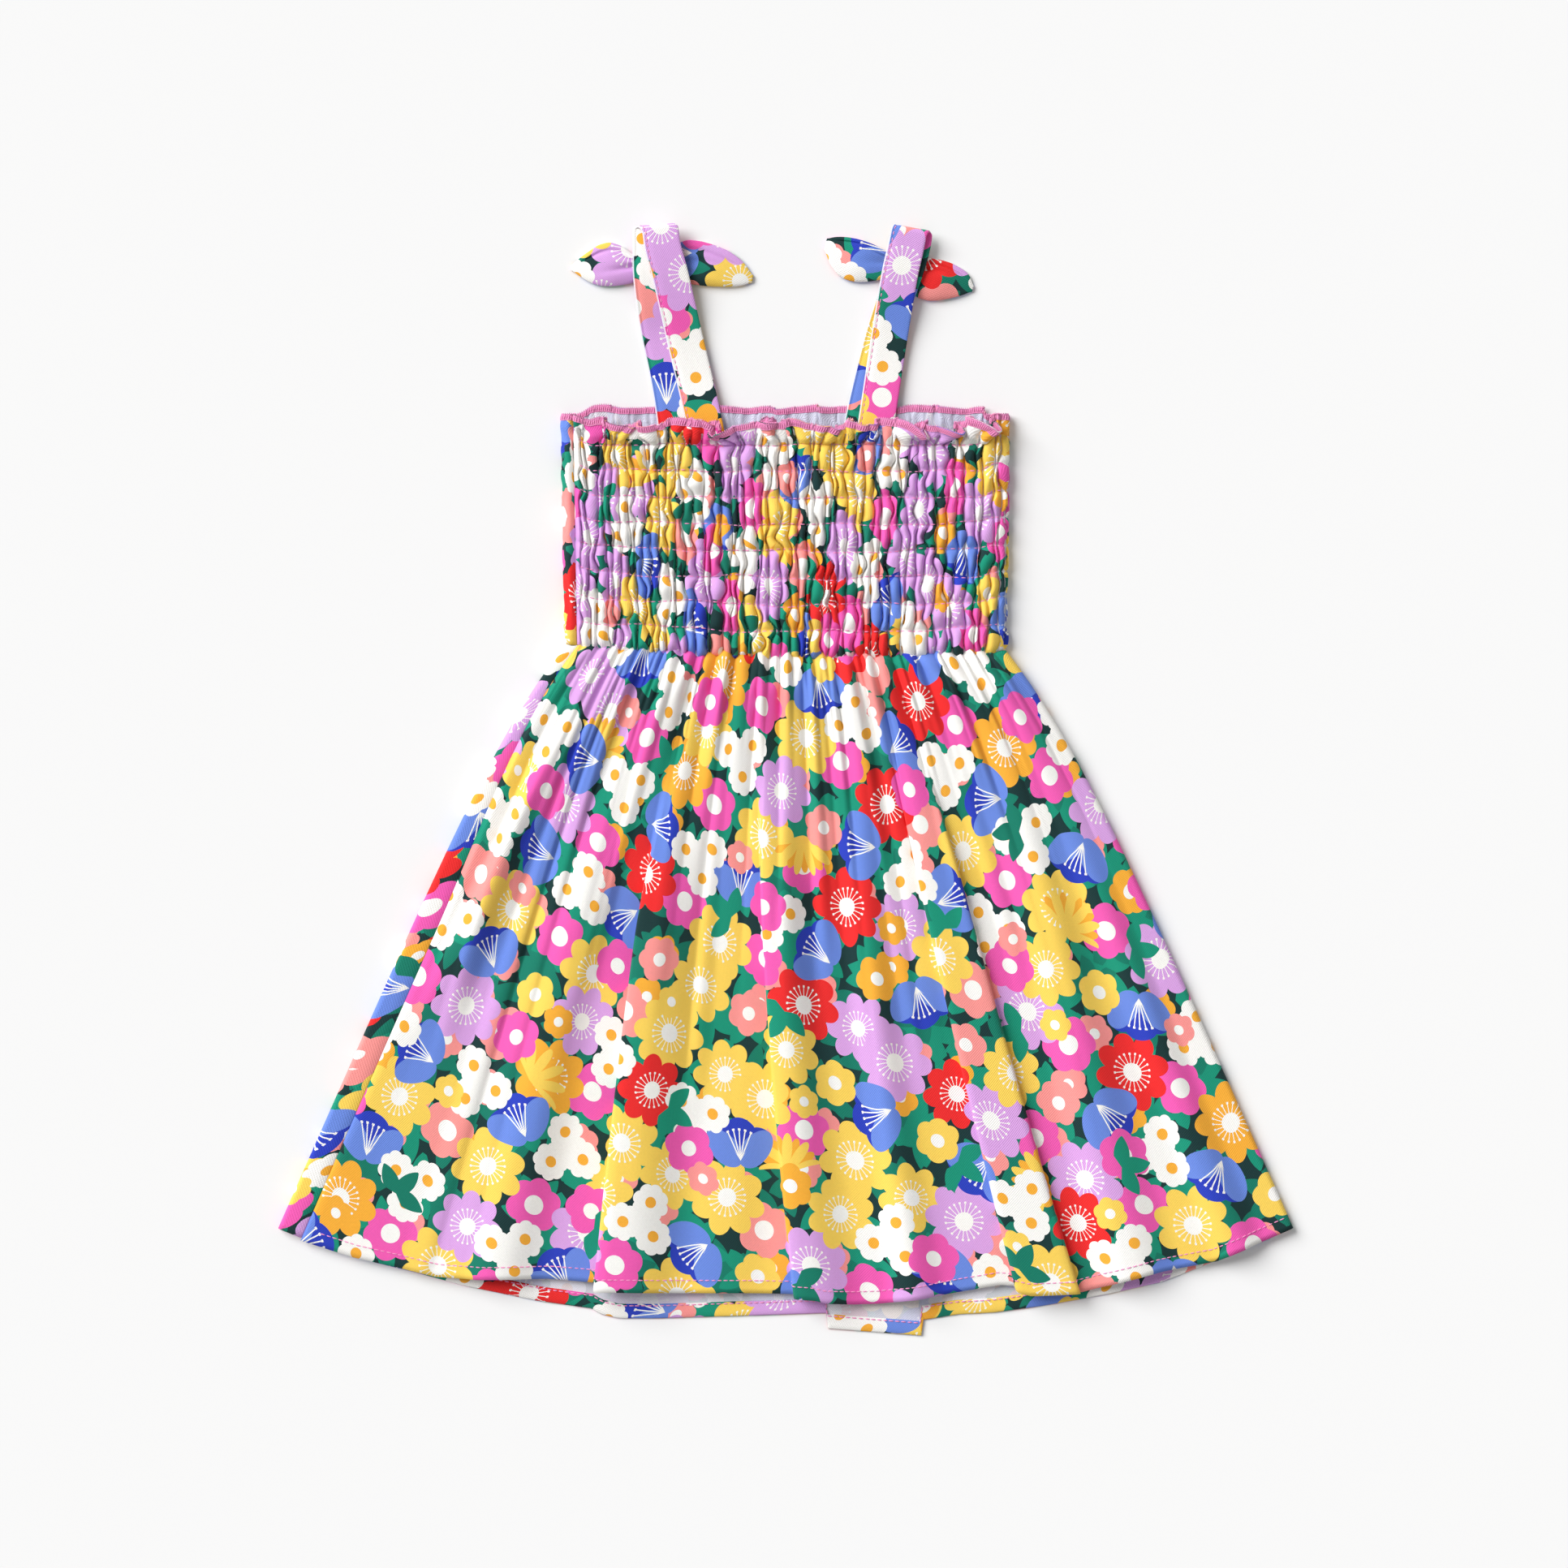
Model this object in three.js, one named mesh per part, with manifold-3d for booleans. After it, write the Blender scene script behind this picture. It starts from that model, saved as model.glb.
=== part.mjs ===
// A toddler's shirred sundress with two bow-trimmed straps, laid flat on its back.
// X runs across the dress, +Y from the hem up to the straps, and Z is the height over the
// surface that it lies on. All sizes are in millimetres.
import * as THREE from "three";
import { mergeVertices } from "three/addons/utils/BufferGeometryUtils.js";
import Module from "manifold-3d";

// Cloth and seams
const CLOTH = 1.2; // wall of a panel
const SEAM_GAP = 0.3; // between pieces that are sewn to each other

// Bodice: a shirred tube with a frill above its first row of elastic
const CHEST_HALF = 104.3; // half width at the first row
const WAIST_HALF = 102.6; // half width at the waist seam
const FIRST_ROW_Y = 159.0; // height of the first row at the side seams
const FRONT_DIP = 3.6; // how far the front's first row lies below that
const BACK_RISE = 3.6; // how far the back's first row lies above it
const FRILL = 10.6; // frill above the first row
const BANDS = 8; // bands between rows of elastic, from the first row to the waist
const PUCKERS = 44; // gathers across the front
const PUCKER_DEPTH = 2.2; // relief of a pucker at the middle of its band
const PINCH_DEPTH = 0.8; // relief left where a row of elastic pinches it
const BODICE_TURN = 2.4; // radius of the folded side edge, on the middle of the wall
const BODICE_SEAM_IN = 5; // side seam, in from the folded edge

// Waist seam: higher at the sides than in the middle
const WAIST_Y = 55.5;
const WAIST_SIDE_RISE = 4.6;
const WAIST_TILT = -1.5; // the right end lies this much lower

// Skirt: a gathered rectangle that fans out to its hem
const SKIRT_PUFF = 14.4; // how far the gathers push the sides out below the waist
const PUFF_LENGTH = 41; // distance over which they do
const SKIRT_FLARE = 0.44; // widening of a half for each millimetre down
const SKIRT_SIDE_DROP = 272.5; // height of the side edge
const HEM_TURN = 1.5; // radius of the folded side edge at the hem
const SKIRT_SEAM_IN = 10; // side seam at the hem, in from the folded edge
const HEMS = {
  front: [
    { x: -237.4, y: -210.9 },
    { x: -202.5, y: -224.4 },
    { x: -163.8, y: -233.0 },
    { x: -128.4, y: -234.2 },
    { x: -88.6, y: -236.4 },
    { x: -79.6, y: -240.3 },
    { x: -20.5, y: -241.1 },
    { x: 2.7, y: -242.0 },
    { x: 22.0, y: -245.9 },
    { x: 43.7, y: -246.1 },
    { x: 72.0, y: -242.2 },
    { x: 102.0, y: -237.6 },
    { x: 116.0, y: -241.4 },
    { x: 138.3, y: -240.4 },
    { x: 174.8, y: -231.4 },
    { x: 201.4, y: -226.1 },
    { x: 237.4, y: -210.9 },
  ],
  back: [
    { x: -237.4, y: -210.9 },
    { x: -205.0, y: -223.9 },
    { x: -174.0, y: -231.8 },
    { x: -117.0, y: -244.9 },
    { x: -78.3, y: -252.6 },
    { x: -20.5, y: -252.2 },
    { x: 40.0, y: -252.3 },
    { x: 96.9, y: -250.6 },
    { x: 150.9, y: -241.9 },
    { x: 192.7, y: -229.7 },
    { x: 237.4, y: -210.9 },
  ],
};
const BACK_PLEAT = { left: 19.8, right: 63.5, corner: 1, drop: 7.2 }; // hangs below the back hem
const GATHER_DEPTH = 1.7;
const GATHER_LENGTH = 24; // distance over which they fade

// Folds of the skirt's front. Shares run from -1 at the left edge to 1 at the right one, at the
// waist and at the hem; from, full and to are shares of the skirt's length. The rest is in mm at
// the hem, and narrows with the skirt. columns are those between it and the leaning fold before.
const FOLDS = [
  { waist: -0.78, hem: -0.98, from: 0.02, full: 0.2, to: 0.7, top: 0, left: 12, right: 30, height: 3, leanLeft: 0, leanRight: 0 },
  { waist: -0.6, hem: -0.58, from: 0.15, full: 0.5, to: 1.5, top: 4, left: 30, right: 30, height: 2.6, leanLeft: 0, leanRight: 0 },
  { waist: -0.395, hem: -0.333, from: 0.1, full: 0.45, to: 1.5, top: 3, left: 9, right: 36, height: 6.5, leanLeft: 9.5, leanRight: 0, columns: 16 },
  { waist: -0.09, hem: 0.05, from: 0.08, full: 0.4, to: 1.5, top: 2, left: 8, right: 28, height: 5, leanLeft: 6.5, leanRight: 0, columns: 10 },
  { waist: 0.2, hem: 0.25, from: 0.1, full: 0.5, to: 1.5, top: 0, left: 16, right: 18, height: 1.8, leanLeft: 0, leanRight: 0 },
  { waist: 0.39, hem: 0.485, from: 0.05, full: 0.35, to: 1.5, top: 15, left: 7, right: 8, height: 4.6, leanLeft: 6, leanRight: 6, columns: 14 },
  { waist: 0.74, hem: 0.68, from: 0.1, full: 0.5, to: 1.5, top: 4, left: 24, right: 26, height: 3, leanLeft: 0, leanRight: 0 },
  { waist: 0.88, hem: 0.89, from: 0.2, full: 0.6, to: 1.5, top: 2, left: 14, right: 12, height: 2, leanLeft: 0, leanRight: 0 },
];
const LAST_COLUMNS = 16; // from the last leaning fold to the right edge
const FLANK_COLUMNS = 4; // over a leaning flank

// Straps: a flat band that goes up from the back's heading, folds over and comes down to the
// front's heading. x, y and z are points of its middle line, and both legs run upwards.
const STRAP_WIDTH = 17;
const STRAP_THICK = 1.2;
const STRAP_STEPS = 3; // steps between two of its points
const STRAP_FOLD = 5; // points round the fold
const STRAPS = {
  strap_left: {
    back: [
      { x: -50.5, y: 155.8, z: 2.1 },
      { x: -52.4, y: 172.0, z: 2.1 },
      { x: -55.5, y: 190.0, z: 1.1 },
      { x: -59.2, y: 208.0, z: 1.4 },
      { x: -61.4, y: 222.0, z: 3.9 },
      { x: -62.9, y: 236.0, z: 5.6 },
      { x: -62.9, y: 248.0, z: 5.4 },
      { x: -62.7, y: 256.0, z: 4.6 },
    ],
    front: [
      { x: -36.1, y: 155.8, z: 3.9 },
      { x: -38.9, y: 169.5, z: 3.9 },
      { x: -43.1, y: 188.0, z: 2.9 },
      { x: -47.4, y: 206.0, z: 3.4 },
      { x: -51.0, y: 222.0, z: 5.6 },
      { x: -54.3, y: 236.0, z: 7.3 },
      { x: -57.5, y: 248.0, z: 7.9 },
      { x: -58.7, y: 256.0, z: 7.8 },
    ],
  },
  strap_right: {
    back: [
      { x: 34.2, y: 155.8, z: 2.1 },
      { x: 37.2, y: 172.0, z: 2.1 },
      { x: 41.4, y: 190.0, z: 1.1 },
      { x: 45.8, y: 207.0, z: 1.4 },
      { x: 50.6, y: 222.0, z: 3.9 },
      { x: 55.6, y: 236.0, z: 5.6 },
      { x: 58.9, y: 247.0, z: 5.4 },
      { x: 60.0, y: 254.6, z: 4.6 },
    ],
    front: [
      { x: 40.7, y: 155.8, z: 3.9 },
      { x: 42.9, y: 169.5, z: 3.9 },
      { x: 45.7, y: 188.0, z: 2.9 },
      { x: 48.5, y: 206.0, z: 3.4 },
      { x: 51.1, y: 222.0, z: 5.6 },
      { x: 53.5, y: 236.0, z: 7.3 },
      { x: 56.0, y: 247.0, z: 7.9 },
      { x: 57.6, y: 254.6, z: 7.8 },
    ],
  },
};

// Bows: a pointed strip knotted once under the strap, so that an ear shows on each side. An ear
// runs from the knot to its tip, and each of its sections lies a share of the way along. above
// and below are how far the section reaches up and down the dress from the line to the tip.
const KNOT = { halfLength: 6.5, halfWidth: 7, halfHeight: 2.35 };
const BOWS = {
  bow_left: {
    knot: { x: -60.5, y: 241.0 },
    ears: [
      {
        tip: { x: -100.6, y: 238.4 },
        sections: [
          { along: 0.1, above: 2.6, below: 5.0, height: 2.8 },
          { along: 0.28, above: 4.8, below: 9.0, height: 3.0 },
          { along: 0.39, above: 8.4, below: 9.7, height: 3.0 },
          { along: 0.53, above: 10.6, below: 10.0, height: 3.0 },
          { along: 0.66, above: 9.6, below: 9.4, height: 2.9 },
          { along: 0.8, above: 6.6, below: 7.2, height: 2.6 },
          { along: 0.92, above: 3.3, below: 3.8, height: 1.9 },
          { along: 1.0, above: 0.8, below: 0.9, height: 1.2 },
        ],
      },
      {
        tip: { x: -15.4, y: 232.9 },
        sections: [
          { along: 0.1, above: 6.4, below: 5.4, height: 2.8 },
          { along: 0.27, above: 12.7, below: 7.3, height: 3.0 },
          { along: 0.42, above: 13.2, below: 7.4, height: 3.0 },
          { along: 0.56, above: 12.6, below: 6.9, height: 3.0 },
          { along: 0.7, above: 11.2, below: 6.1, height: 2.9 },
          { along: 0.83, above: 8.4, below: 4.9, height: 2.6 },
          { along: 0.93, above: 4.9, below: 3.1, height: 1.9 },
          { along: 1.0, above: 1.1, below: 1.1, height: 1.2 },
        ],
      },
    ],
  },
  bow_right: {
    knot: { x: 54.5, y: 240.5 },
    ears: [
      {
        tip: { x: 18.8, y: 250.3 },
        sections: [
          { along: 0.1, above: 3.2, below: 6.8, height: 2.8 },
          { along: 0.33, above: 4.4, below: 12.4, height: 3.0 },
          { along: 0.48, above: 5.2, below: 14.2, height: 3.0 },
          { along: 0.62, above: 5.4, below: 14.6, height: 3.0 },
          { along: 0.75, above: 5.0, below: 13.2, height: 2.8 },
          { along: 0.85, above: 4.2, below: 10.4, height: 2.5 },
          { along: 0.93, above: 3.2, below: 7.0, height: 2.0 },
          { along: 1.0, above: 1.5, below: 2.6, height: 1.3 },
        ],
      },
      {
        tip: { x: 87.6, y: 228.3 },
        sections: [
          { along: 0.1, above: 4.4, below: 7.0, height: 2.8 },
          { along: 0.34, above: 6.8, below: 12.8, height: 3.0 },
          { along: 0.5, above: 7.8, below: 12.3, height: 3.0 },
          { along: 0.62, above: 8.0, below: 10.5, height: 3.0 },
          { along: 0.74, above: 7.4, below: 8.2, height: 2.8 },
          { along: 0.86, above: 6.2, below: 5.3, height: 2.4 },
          { along: 0.94, above: 3.8, below: 2.9, height: 1.9 },
          { along: 1.0, above: 0.9, below: 0.9, height: 1.2 },
        ],
      },
    ],
  },
};
const EAR_RING = 14; // points round a section of an ear

// How finely the nets of points are laid
const SKIRT_ROWS = [0, 0.02, 0.05, 0.09, 0.15, 0.23, 0.33, 0.44, 0.56, 0.68, 0.8, 0.91, 1];
const BACK_COLUMNS = 20;
const TURN_STEPS = 5;

const wasm = await Module();
wasm.setup();

const mix = (a, b, share) => a + (b - a) * share;
const clamp = (value) => Math.min(1, Math.max(0, value));

function smooth(low, high, value) {
  const share = clamp((value - low) / (high - low));
  return share * share * (3 - 2 * share);
}

// An uneven but fixed number from 0 to 1 for each pair of whole numbers.
function uneven(a, b = 0) {
  const value = Math.sin(a * 12.9898 + b * 78.233) * 43758.5453;
  return value - Math.floor(value);
}

// A closed wall between an outer and an inner net of points, which may have different numbers
// of rows and columns. Rows run down the dress, and the outer net faces away from the inner one.
function closedWall(outer, inner) {
  const positions = [];
  const triangles = [];
  const place = (net) =>
    net.map((row) =>
      row.map((point) => {
        positions.push(point.x, point.y, point.z);
        return positions.length / 3 - 1;
      }),
    );
  const skin = (net, facesOut) => {
    for (let i = 0; i + 1 < net.length; i++)
      for (let j = 0; j + 1 < net[i].length; j++) {
        const [a, b, c, d] = [net[i][j], net[i + 1][j], net[i + 1][j + 1], net[i][j + 1]];
        triangles.push(...(facesOut ? [a, b, c, a, c, d] : [a, c, b, a, d, c]));
      }
  };
  const rim = (a, b) => {
    let [i, j] = [0, 0];
    while (i + 1 < a.length || j + 1 < b.length) {
      const stepA = (i + 1) / (a.length - 1);
      const stepB = (j + 1) / (b.length - 1);
      if (j + 1 >= b.length || (i + 1 < a.length && stepA <= stepB)) {
        triangles.push(a[i], a[i + 1], b[j]);
        i++;
      } else {
        triangles.push(a[i], b[j + 1], b[j]);
        j++;
      }
    }
  };
  const [out, into] = [place(outer), place(inner)];
  skin(out, true);
  skin(into, false);
  rim(out[0], into[0]);
  rim([...out.at(-1)].reverse(), [...into.at(-1)].reverse());
  rim(out.map((row) => row[0]).reverse(), into.map((row) => row[0]).reverse());
  rim(out.map((row) => row.at(-1)), into.map((row) => row.at(-1)));
  const geometry = new THREE.BufferGeometry();
  geometry.setAttribute("position", new THREE.Float32BufferAttribute(positions, 3));
  geometry.setIndex(triangles);
  return geometry;
}

// The net moved along its own normals, by a distance that may differ from point to point. Its
// first and last rows move only across the dress, so that their cut edges stay square.
function movedOut(net, distance) {
  return net.map((row, i) =>
    row.map((point, j) => {
      const up = net[Math.max(0, i - 1)][j];
      const down = net[Math.min(net.length - 1, i + 1)][j];
      const before = row[Math.max(0, j - 1)];
      const after = row[Math.min(row.length - 1, j + 1)];
      const rowWay = new THREE.Vector3().subVectors(down, up);
      const columnWay = new THREE.Vector3().subVectors(after, before);
      const normal = rowWay.cross(columnWay);
      if (i === 0 || i === net.length - 1) normal.y = 0;
      normal.normalize();
      return point.clone().addScaledVector(normal, distance(i, j));
    }),
  );
}

// A point of the flattened tube of cloth, by its distance round the tube from the middle of its
// top. half is the tube's half width, and turn the radius of its folded side edges.
function onTube(along, half, turn) {
  const side = Math.sign(along);
  const past = Math.abs(along) - (half - turn);
  const angle = past / turn;
  if (angle <= 0) return { x: along, z: 2 * turn };
  if (angle < Math.PI)
    return { x: side * (half - turn + turn * Math.sin(angle)), z: turn * (1 + Math.cos(angle)) };
  return { x: side * (half - turn - (past - Math.PI * turn)), z: 0 };
}

// Where the top of a front panel starts and ends, as distances round the tube.
function topSpan(half, turn, seamIn) {
  return { start: -(half - seamIn) + SEAM_GAP / 2, end: half - turn };
}

// Distances round the tube of a front panel's columns: over the top, round the right edge and
// back under to its right seam.
function frontWay(top, turn, seamIn) {
  const end = top.at(-1);
  return [
    ...top,
    ...steps(TURN_STEPS).map((share) => end + share * Math.PI * turn),
    end + Math.PI * turn + seamIn - turn - SEAM_GAP / 2,
  ];
}

// Where the underside of a back panel starts and ends, as places along X.
function underSpan(half, turn, seamIn) {
  return { start: half - seamIn - SEAM_GAP / 2, end: -(half - turn) };
}

// The same for a back panel, from its right seam underneath, round the left edge and up to its
// left seam on top.
function backWay(under, half, turn, seamIn) {
  const edge = -(half - turn) - Math.PI * turn;
  return [
    ...under.map((x) => edge - (x + half - turn)),
    ...steps(TURN_STEPS).map((share) => edge + share * Math.PI * turn),
    -(half - seamIn) - SEAM_GAP / 2,
  ];
}

// Even shares from one step past 0 up to 1.
function steps(count) {
  return Array.from({ length: count }, (_, k) => (k + 1) / count);
}

// Even shares from 0 up to 1.
function evenShares(count) {
  return Array.from({ length: count }, (_, k) => k / (count - 1));
}

function waistY(share) {
  return WAIST_Y + WAIST_SIDE_RISE * share * share + WAIST_TILT * share;
}

// Skirt

function skirtHalf(down) {
  const drop = down * SKIRT_SIDE_DROP;
  return WAIST_HALF + SKIRT_PUFF * (1 - Math.exp(-drop / PUFF_LENGTH)) + SKIRT_FLARE * drop;
}

function hemY(side, share) {
  const places = HEMS[side];
  const x = share * skirtHalf(1);
  const next = Math.max(1, places.findIndex((place) => place.x >= x));
  const [from, to] = [places[next - 1], places[next]];
  return mix(from.y, to.y, clamp((x - from.x) / (to.x - from.x)));
}

// How far a fold lifts the cloth and pushes it sideways. A flank that leans out further than
// it is wide hangs over the cloth beside it.
function foldShift(fold, share, down, half) {
  const scale = half / skirtHalf(1);
  const grown = smooth(fold.from, fold.full, down) * (1 - smooth(fold.to - 0.15, fold.to, down));
  const at = ((share - mix(fold.waist, fold.hem, down)) * half) / scale;
  const past = clamp(at < 0 ? -at / fold.left : (at - fold.top) / fold.right);
  const round = Math.cos((Math.PI / 2) * past) ** 2;
  const hangs = (at < 0 ? fold.leanLeft : fold.leanRight) > 0;
  let lean = mix(-fold.leanLeft, fold.leanRight, at / fold.top);
  if (at <= 0) lean = -fold.leanLeft;
  if (at >= fold.top) lean = fold.leanRight;
  return { x: grown * round * lean * scale, z: grown * fold.height * (hangs ? 1 - past : round) };
}

// Columns over the front's top: a fixed number over each leaning flank and between them, so that
// a column keeps its place in a fold all the way down. Every second one between them is raised.
function columnsOverFolds(down, half, { start, end }) {
  const scale = half / skirtHalf(1);
  const stops = [];
  for (const fold of FOLDS.filter(({ leanLeft }) => leanLeft > 0)) {
    const centre = mix(fold.waist, fold.hem, down) * half;
    stops.push({ x: centre - fold.left * scale, columns: fold.columns, gathered: true });
    stops.push({ x: centre, columns: FLANK_COLUMNS });
    if (fold.leanRight > 0) {
      stops.push({ x: centre + fold.top * scale, columns: 2 });
      stops.push({ x: centre + (fold.top + fold.right) * scale, columns: FLANK_COLUMNS });
    }
  }
  stops.push({ x: end, columns: LAST_COLUMNS, gathered: true });
  const columns = [{ x: start, raised: false }];
  for (const stop of stops) {
    const before = columns.at(-1).x;
    for (let k = 1; k <= stop.columns; k++)
      columns.push({ x: mix(before, stop.x, k / stop.columns), raised: stop.gathered && k % 2 === 1 });
  }
  return columns;
}

// Columns over the underside of the back: even ones, and two at each corner of its low pleat.
function columnsUnderneath(half, { start, end }) {
  const scale = half / skirtHalf(1);
  const { left, right, corner } = BACK_PLEAT;
  const corners = [left - corner, left, right, right + corner].map((x) => x * scale);
  const even = evenShares(BACK_COLUMNS).map((place) => mix(start, end, place));
  return [...even, ...corners].sort((a, b) => b - a);
}

// Relief of the small gathers below the waist seam.
function gatherRelief(column, down) {
  const drop = down * SKIRT_SIDE_DROP;
  const fade = (0.55 + 0.45 * smooth(0, 5, drop)) * Math.exp(-drop / GATHER_LENGTH);
  return GATHER_DEPTH * (0.7 + 0.5 * uneven(column)) * fade;
}

function skirtPanel(side, plain) {
  return SKIRT_ROWS.map((down) => {
    const half = skirtHalf(down);
    const turn = mix(BODICE_TURN, HEM_TURN, down);
    const seamIn = mix(BODICE_SEAM_IN, SKIRT_SEAM_IN, smooth(0, 0.5, down));
    const columns = columnsOverFolds(down, half, topSpan(half, turn, seamIn));
    const way = side === "front"
      ? frontWay(columns.map(({ x }) => x), turn, seamIn)
      : backWay(columnsUnderneath(half, underSpan(half, turn, seamIn)), half, turn, seamIn);
    return way.map((along, j) => {
      const { x, z } = onTube(along, half, turn);
      const share = x / half;
      const point = new THREE.Vector3(x, 0, CLOTH / 2 + z);
      point.relief = 0;
      let hem = hemY(side, share);
      if (side === "front" && j < columns.length) {
        const fromSeam = smooth(0, 14, along - way[0]);
        for (const fold of FOLDS) {
          const shift = foldShift(fold, share, down, half);
          point.x += fromSeam * shift.x;
          point.z += fromSeam * shift.z;
        }
        if (columns[j].raised && !plain) point.relief = gatherRelief(j, down);
      } else if (side === "back" && z === 0) {
        const scale = half / skirtHalf(1);
        const low = x > (BACK_PLEAT.left - 0.1) * scale && x < (BACK_PLEAT.right + 0.1) * scale;
        if (low) hem -= BACK_PLEAT.drop * smooth(0.8, 1, down);
      }
      point.y = mix(waistY(share) - SEAM_GAP / 2, hem, down);
      return point;
    });
  });
}

function skirtWall(side) {
  const outerNet = skirtPanel(side, false);
  const innerNet = skirtPanel(side, true);
  const outer = movedOut(outerNet, (i, j) => CLOTH / 2 + outerNet[i][j].relief);
  const inner = movedOut(innerNet, () => -CLOTH / 2);
  return closedWall(outer, inner);
}

// Bodice

// 1 away from the straps' back ends, and 0 where they lie on the back's frill.
function clearOfStraps(x) {
  const ends = Object.values(STRAPS).map(({ back }) => back[1].x);
  return Math.min(...ends.map((end) => smooth(11, 17, Math.abs(x - end))));
}

function firstRowY(side, share) {
  const towardsMiddle = 1 - smooth(0.86, 0.945, Math.abs(share));
  return FIRST_ROW_Y + (side === "front" ? -FRONT_DIP : BACK_RISE) * towardsMiddle;
}

// Relief of the shirring at a column and a band, where down counts bands from the first row.
function shirring(column, down, share) {
  const band = Math.floor(down);
  const puff = Math.sin(Math.PI * (down - band)) ** 2;
  const depth = mix(PINCH_DEPTH, PUCKER_DEPTH * (0.75 + 0.4 * uneven(column, band)), puff);
  const fromEdge = 1 - smooth(0.97, 0.985, Math.abs(share));
  return column % 2 === 1 ? depth * fromEdge : 0;
}

// The frill's waves, which grow from nothing at the first row to full at its edge.
function frillShift(side, x, share, risen) {
  const fromEdge = 1 - smooth(0.9, 0.95, Math.abs(share));
  const wave = Math.sin(x * 0.47 + 1.3 * Math.sin(x * 0.061));
  if (side === "front")
    return { z: fromEdge * risen * (2.8 + 1.9 * wave), y: -0.6 * risen * fromEdge * (1 + wave) };
  const height = 1.1 * (1 + Math.sin(x * 0.41 + 2)) * clearOfStraps(x);
  return { z: fromEdge * risen * height, y: 0.5 * risen * fromEdge * Math.sin(x * 0.37) };
}

function bodicePanel(side, columns, rows) {
  return rows.map((down) => {
    const share = clamp(down / BANDS);
    const half = mix(CHEST_HALF, WAIST_HALF, share);
    const span = side === "front" ? topSpan : underSpan;
    const { start, end } = span(half, BODICE_TURN, BODICE_SEAM_IN);
    const places = evenShares(columns).map((place) => mix(start, end, place));
    const way = side === "front"
      ? frontWay(places, BODICE_TURN, BODICE_SEAM_IN)
      : backWay(places, half, BODICE_TURN, BODICE_SEAM_IN);
    const risen = Math.max(0, -down);
    return way.map((along, j) => {
      const { x, z } = onTube(along, half, BODICE_TURN);
      const across = x / half;
      const onTop = z > BODICE_TURN;
      const first = firstRowY(side, across);
      const point = new THREE.Vector3(x, 0, CLOTH / 2 + z);
      point.y = mix(first, waistY(across) + SEAM_GAP / 2, share) + risen * FRILL;
      if (risen > 0 && (side === "front" ? along < half - BODICE_TURN : z === 0)) {
        const shift = frillShift(side, x, across, risen);
        point.y += shift.y;
        point.z += shift.z;
      }
      point.relief = onTop && down >= 0 ? shirring(j, Math.min(down, BANDS - 1e-6), across) : 0;
      return point;
    });
  });
}

function bodiceWall(side, columns, rows, innerRows) {
  const outerNet = bodicePanel(side, columns, rows);
  const innerNet = bodicePanel(side, columns, innerRows);
  const outer = movedOut(outerNet, (i, j) => CLOTH / 2 + outerNet[i][j].relief);
  const inner = movedOut(innerNet, () => -CLOTH / 2);
  return closedWall(outer, inner);
}

// Straps

// The direction across a leg at each of its points.
function acrossLeg(leg) {
  return leg.map((_, k) => {
    const from = leg[Math.max(0, k - 1)];
    const to = leg[Math.min(leg.length - 1, k + 1)];
    return new THREE.Vector3(to.y - from.y, from.x - to.x, 0).normalize();
  });
}

// A strap's middle line with its half circle at the top, and the direction across each point.
function strapPath({ back, front }) {
  const [from, to] = [back.at(-1), front.at(-1)];
  const [acrossBack, acrossFront] = [acrossLeg(back), acrossLeg(front)];
  const radius = (to.z - from.z) / 2;
  const fold = Array.from({ length: STRAP_FOLD }, (_, k) => {
    const share = (k + 1) / (STRAP_FOLD + 1);
    const angle = share * Math.PI;
    return {
      point: {
        x: mix(from.x, to.x, share),
        y: mix(from.y, to.y, share) + radius * Math.sin(angle),
        z: from.z + radius * (1 - Math.cos(angle)),
      },
      across: acrossBack.at(-1).clone().lerp(acrossFront.at(-1), share),
    };
  });
  const points = [...back, ...fold.map(({ point }) => point), ...[...front].reverse()];
  const across = [...acrossBack, ...fold.map((step) => step.across), ...[...acrossFront].reverse()];
  return { points, across };
}

function strapWall(strap) {
  const { points, across } = strapPath(strap);
  const curve = (list, kind) =>
    new THREE.CatmullRomCurve3(list.map(({ x, y, z }) => new THREE.Vector3(x, y, z)), false, kind);
  const [middle, sideways] = [curve(points, "centripetal"), curve(across, "catmullrom")];
  const stations = evenShares((points.length - 1) * STRAP_STEPS + 1).map((share) => {
    const way = middle.getTangent(share);
    const side = sideways.getPoint(share);
    const out = new THREE.Vector3().crossVectors(way, side).normalize();
    return { centre: middle.getPoint(share), side, out };
  });
  const net = (offset) =>
    stations.map(({ centre, side, out }) =>
      [-1, 0, 1].map((place) =>
        centre
          .clone()
          .addScaledVector(side, (place * STRAP_WIDTH) / 2)
          .addScaledVector(out, offset),
      ),
    );
  return closedWall(net(STRAP_THICK / 2), net(-STRAP_THICK / 2));
}

// Bows

function toSolid(geometry) {
  const bare = geometry.clone();
  bare.deleteAttribute("normal");
  bare.deleteAttribute("uv");
  const merged = mergeVertices(bare, 1e-4);
  return new wasm.Manifold(
    new wasm.Mesh({
      numProp: 3,
      vertProperties: merged.attributes.position.array,
      triVerts: new Uint32Array(merged.index.array),
    }),
  );
}

function toGeometry(solid) {
  const mesh = solid.getMesh();
  const geometry = new THREE.BufferGeometry();
  geometry.setAttribute("position", new THREE.BufferAttribute(mesh.vertProperties, 3));
  geometry.setIndex(new THREE.BufferAttribute(mesh.triVerts, 1));
  return geometry;
}

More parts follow.
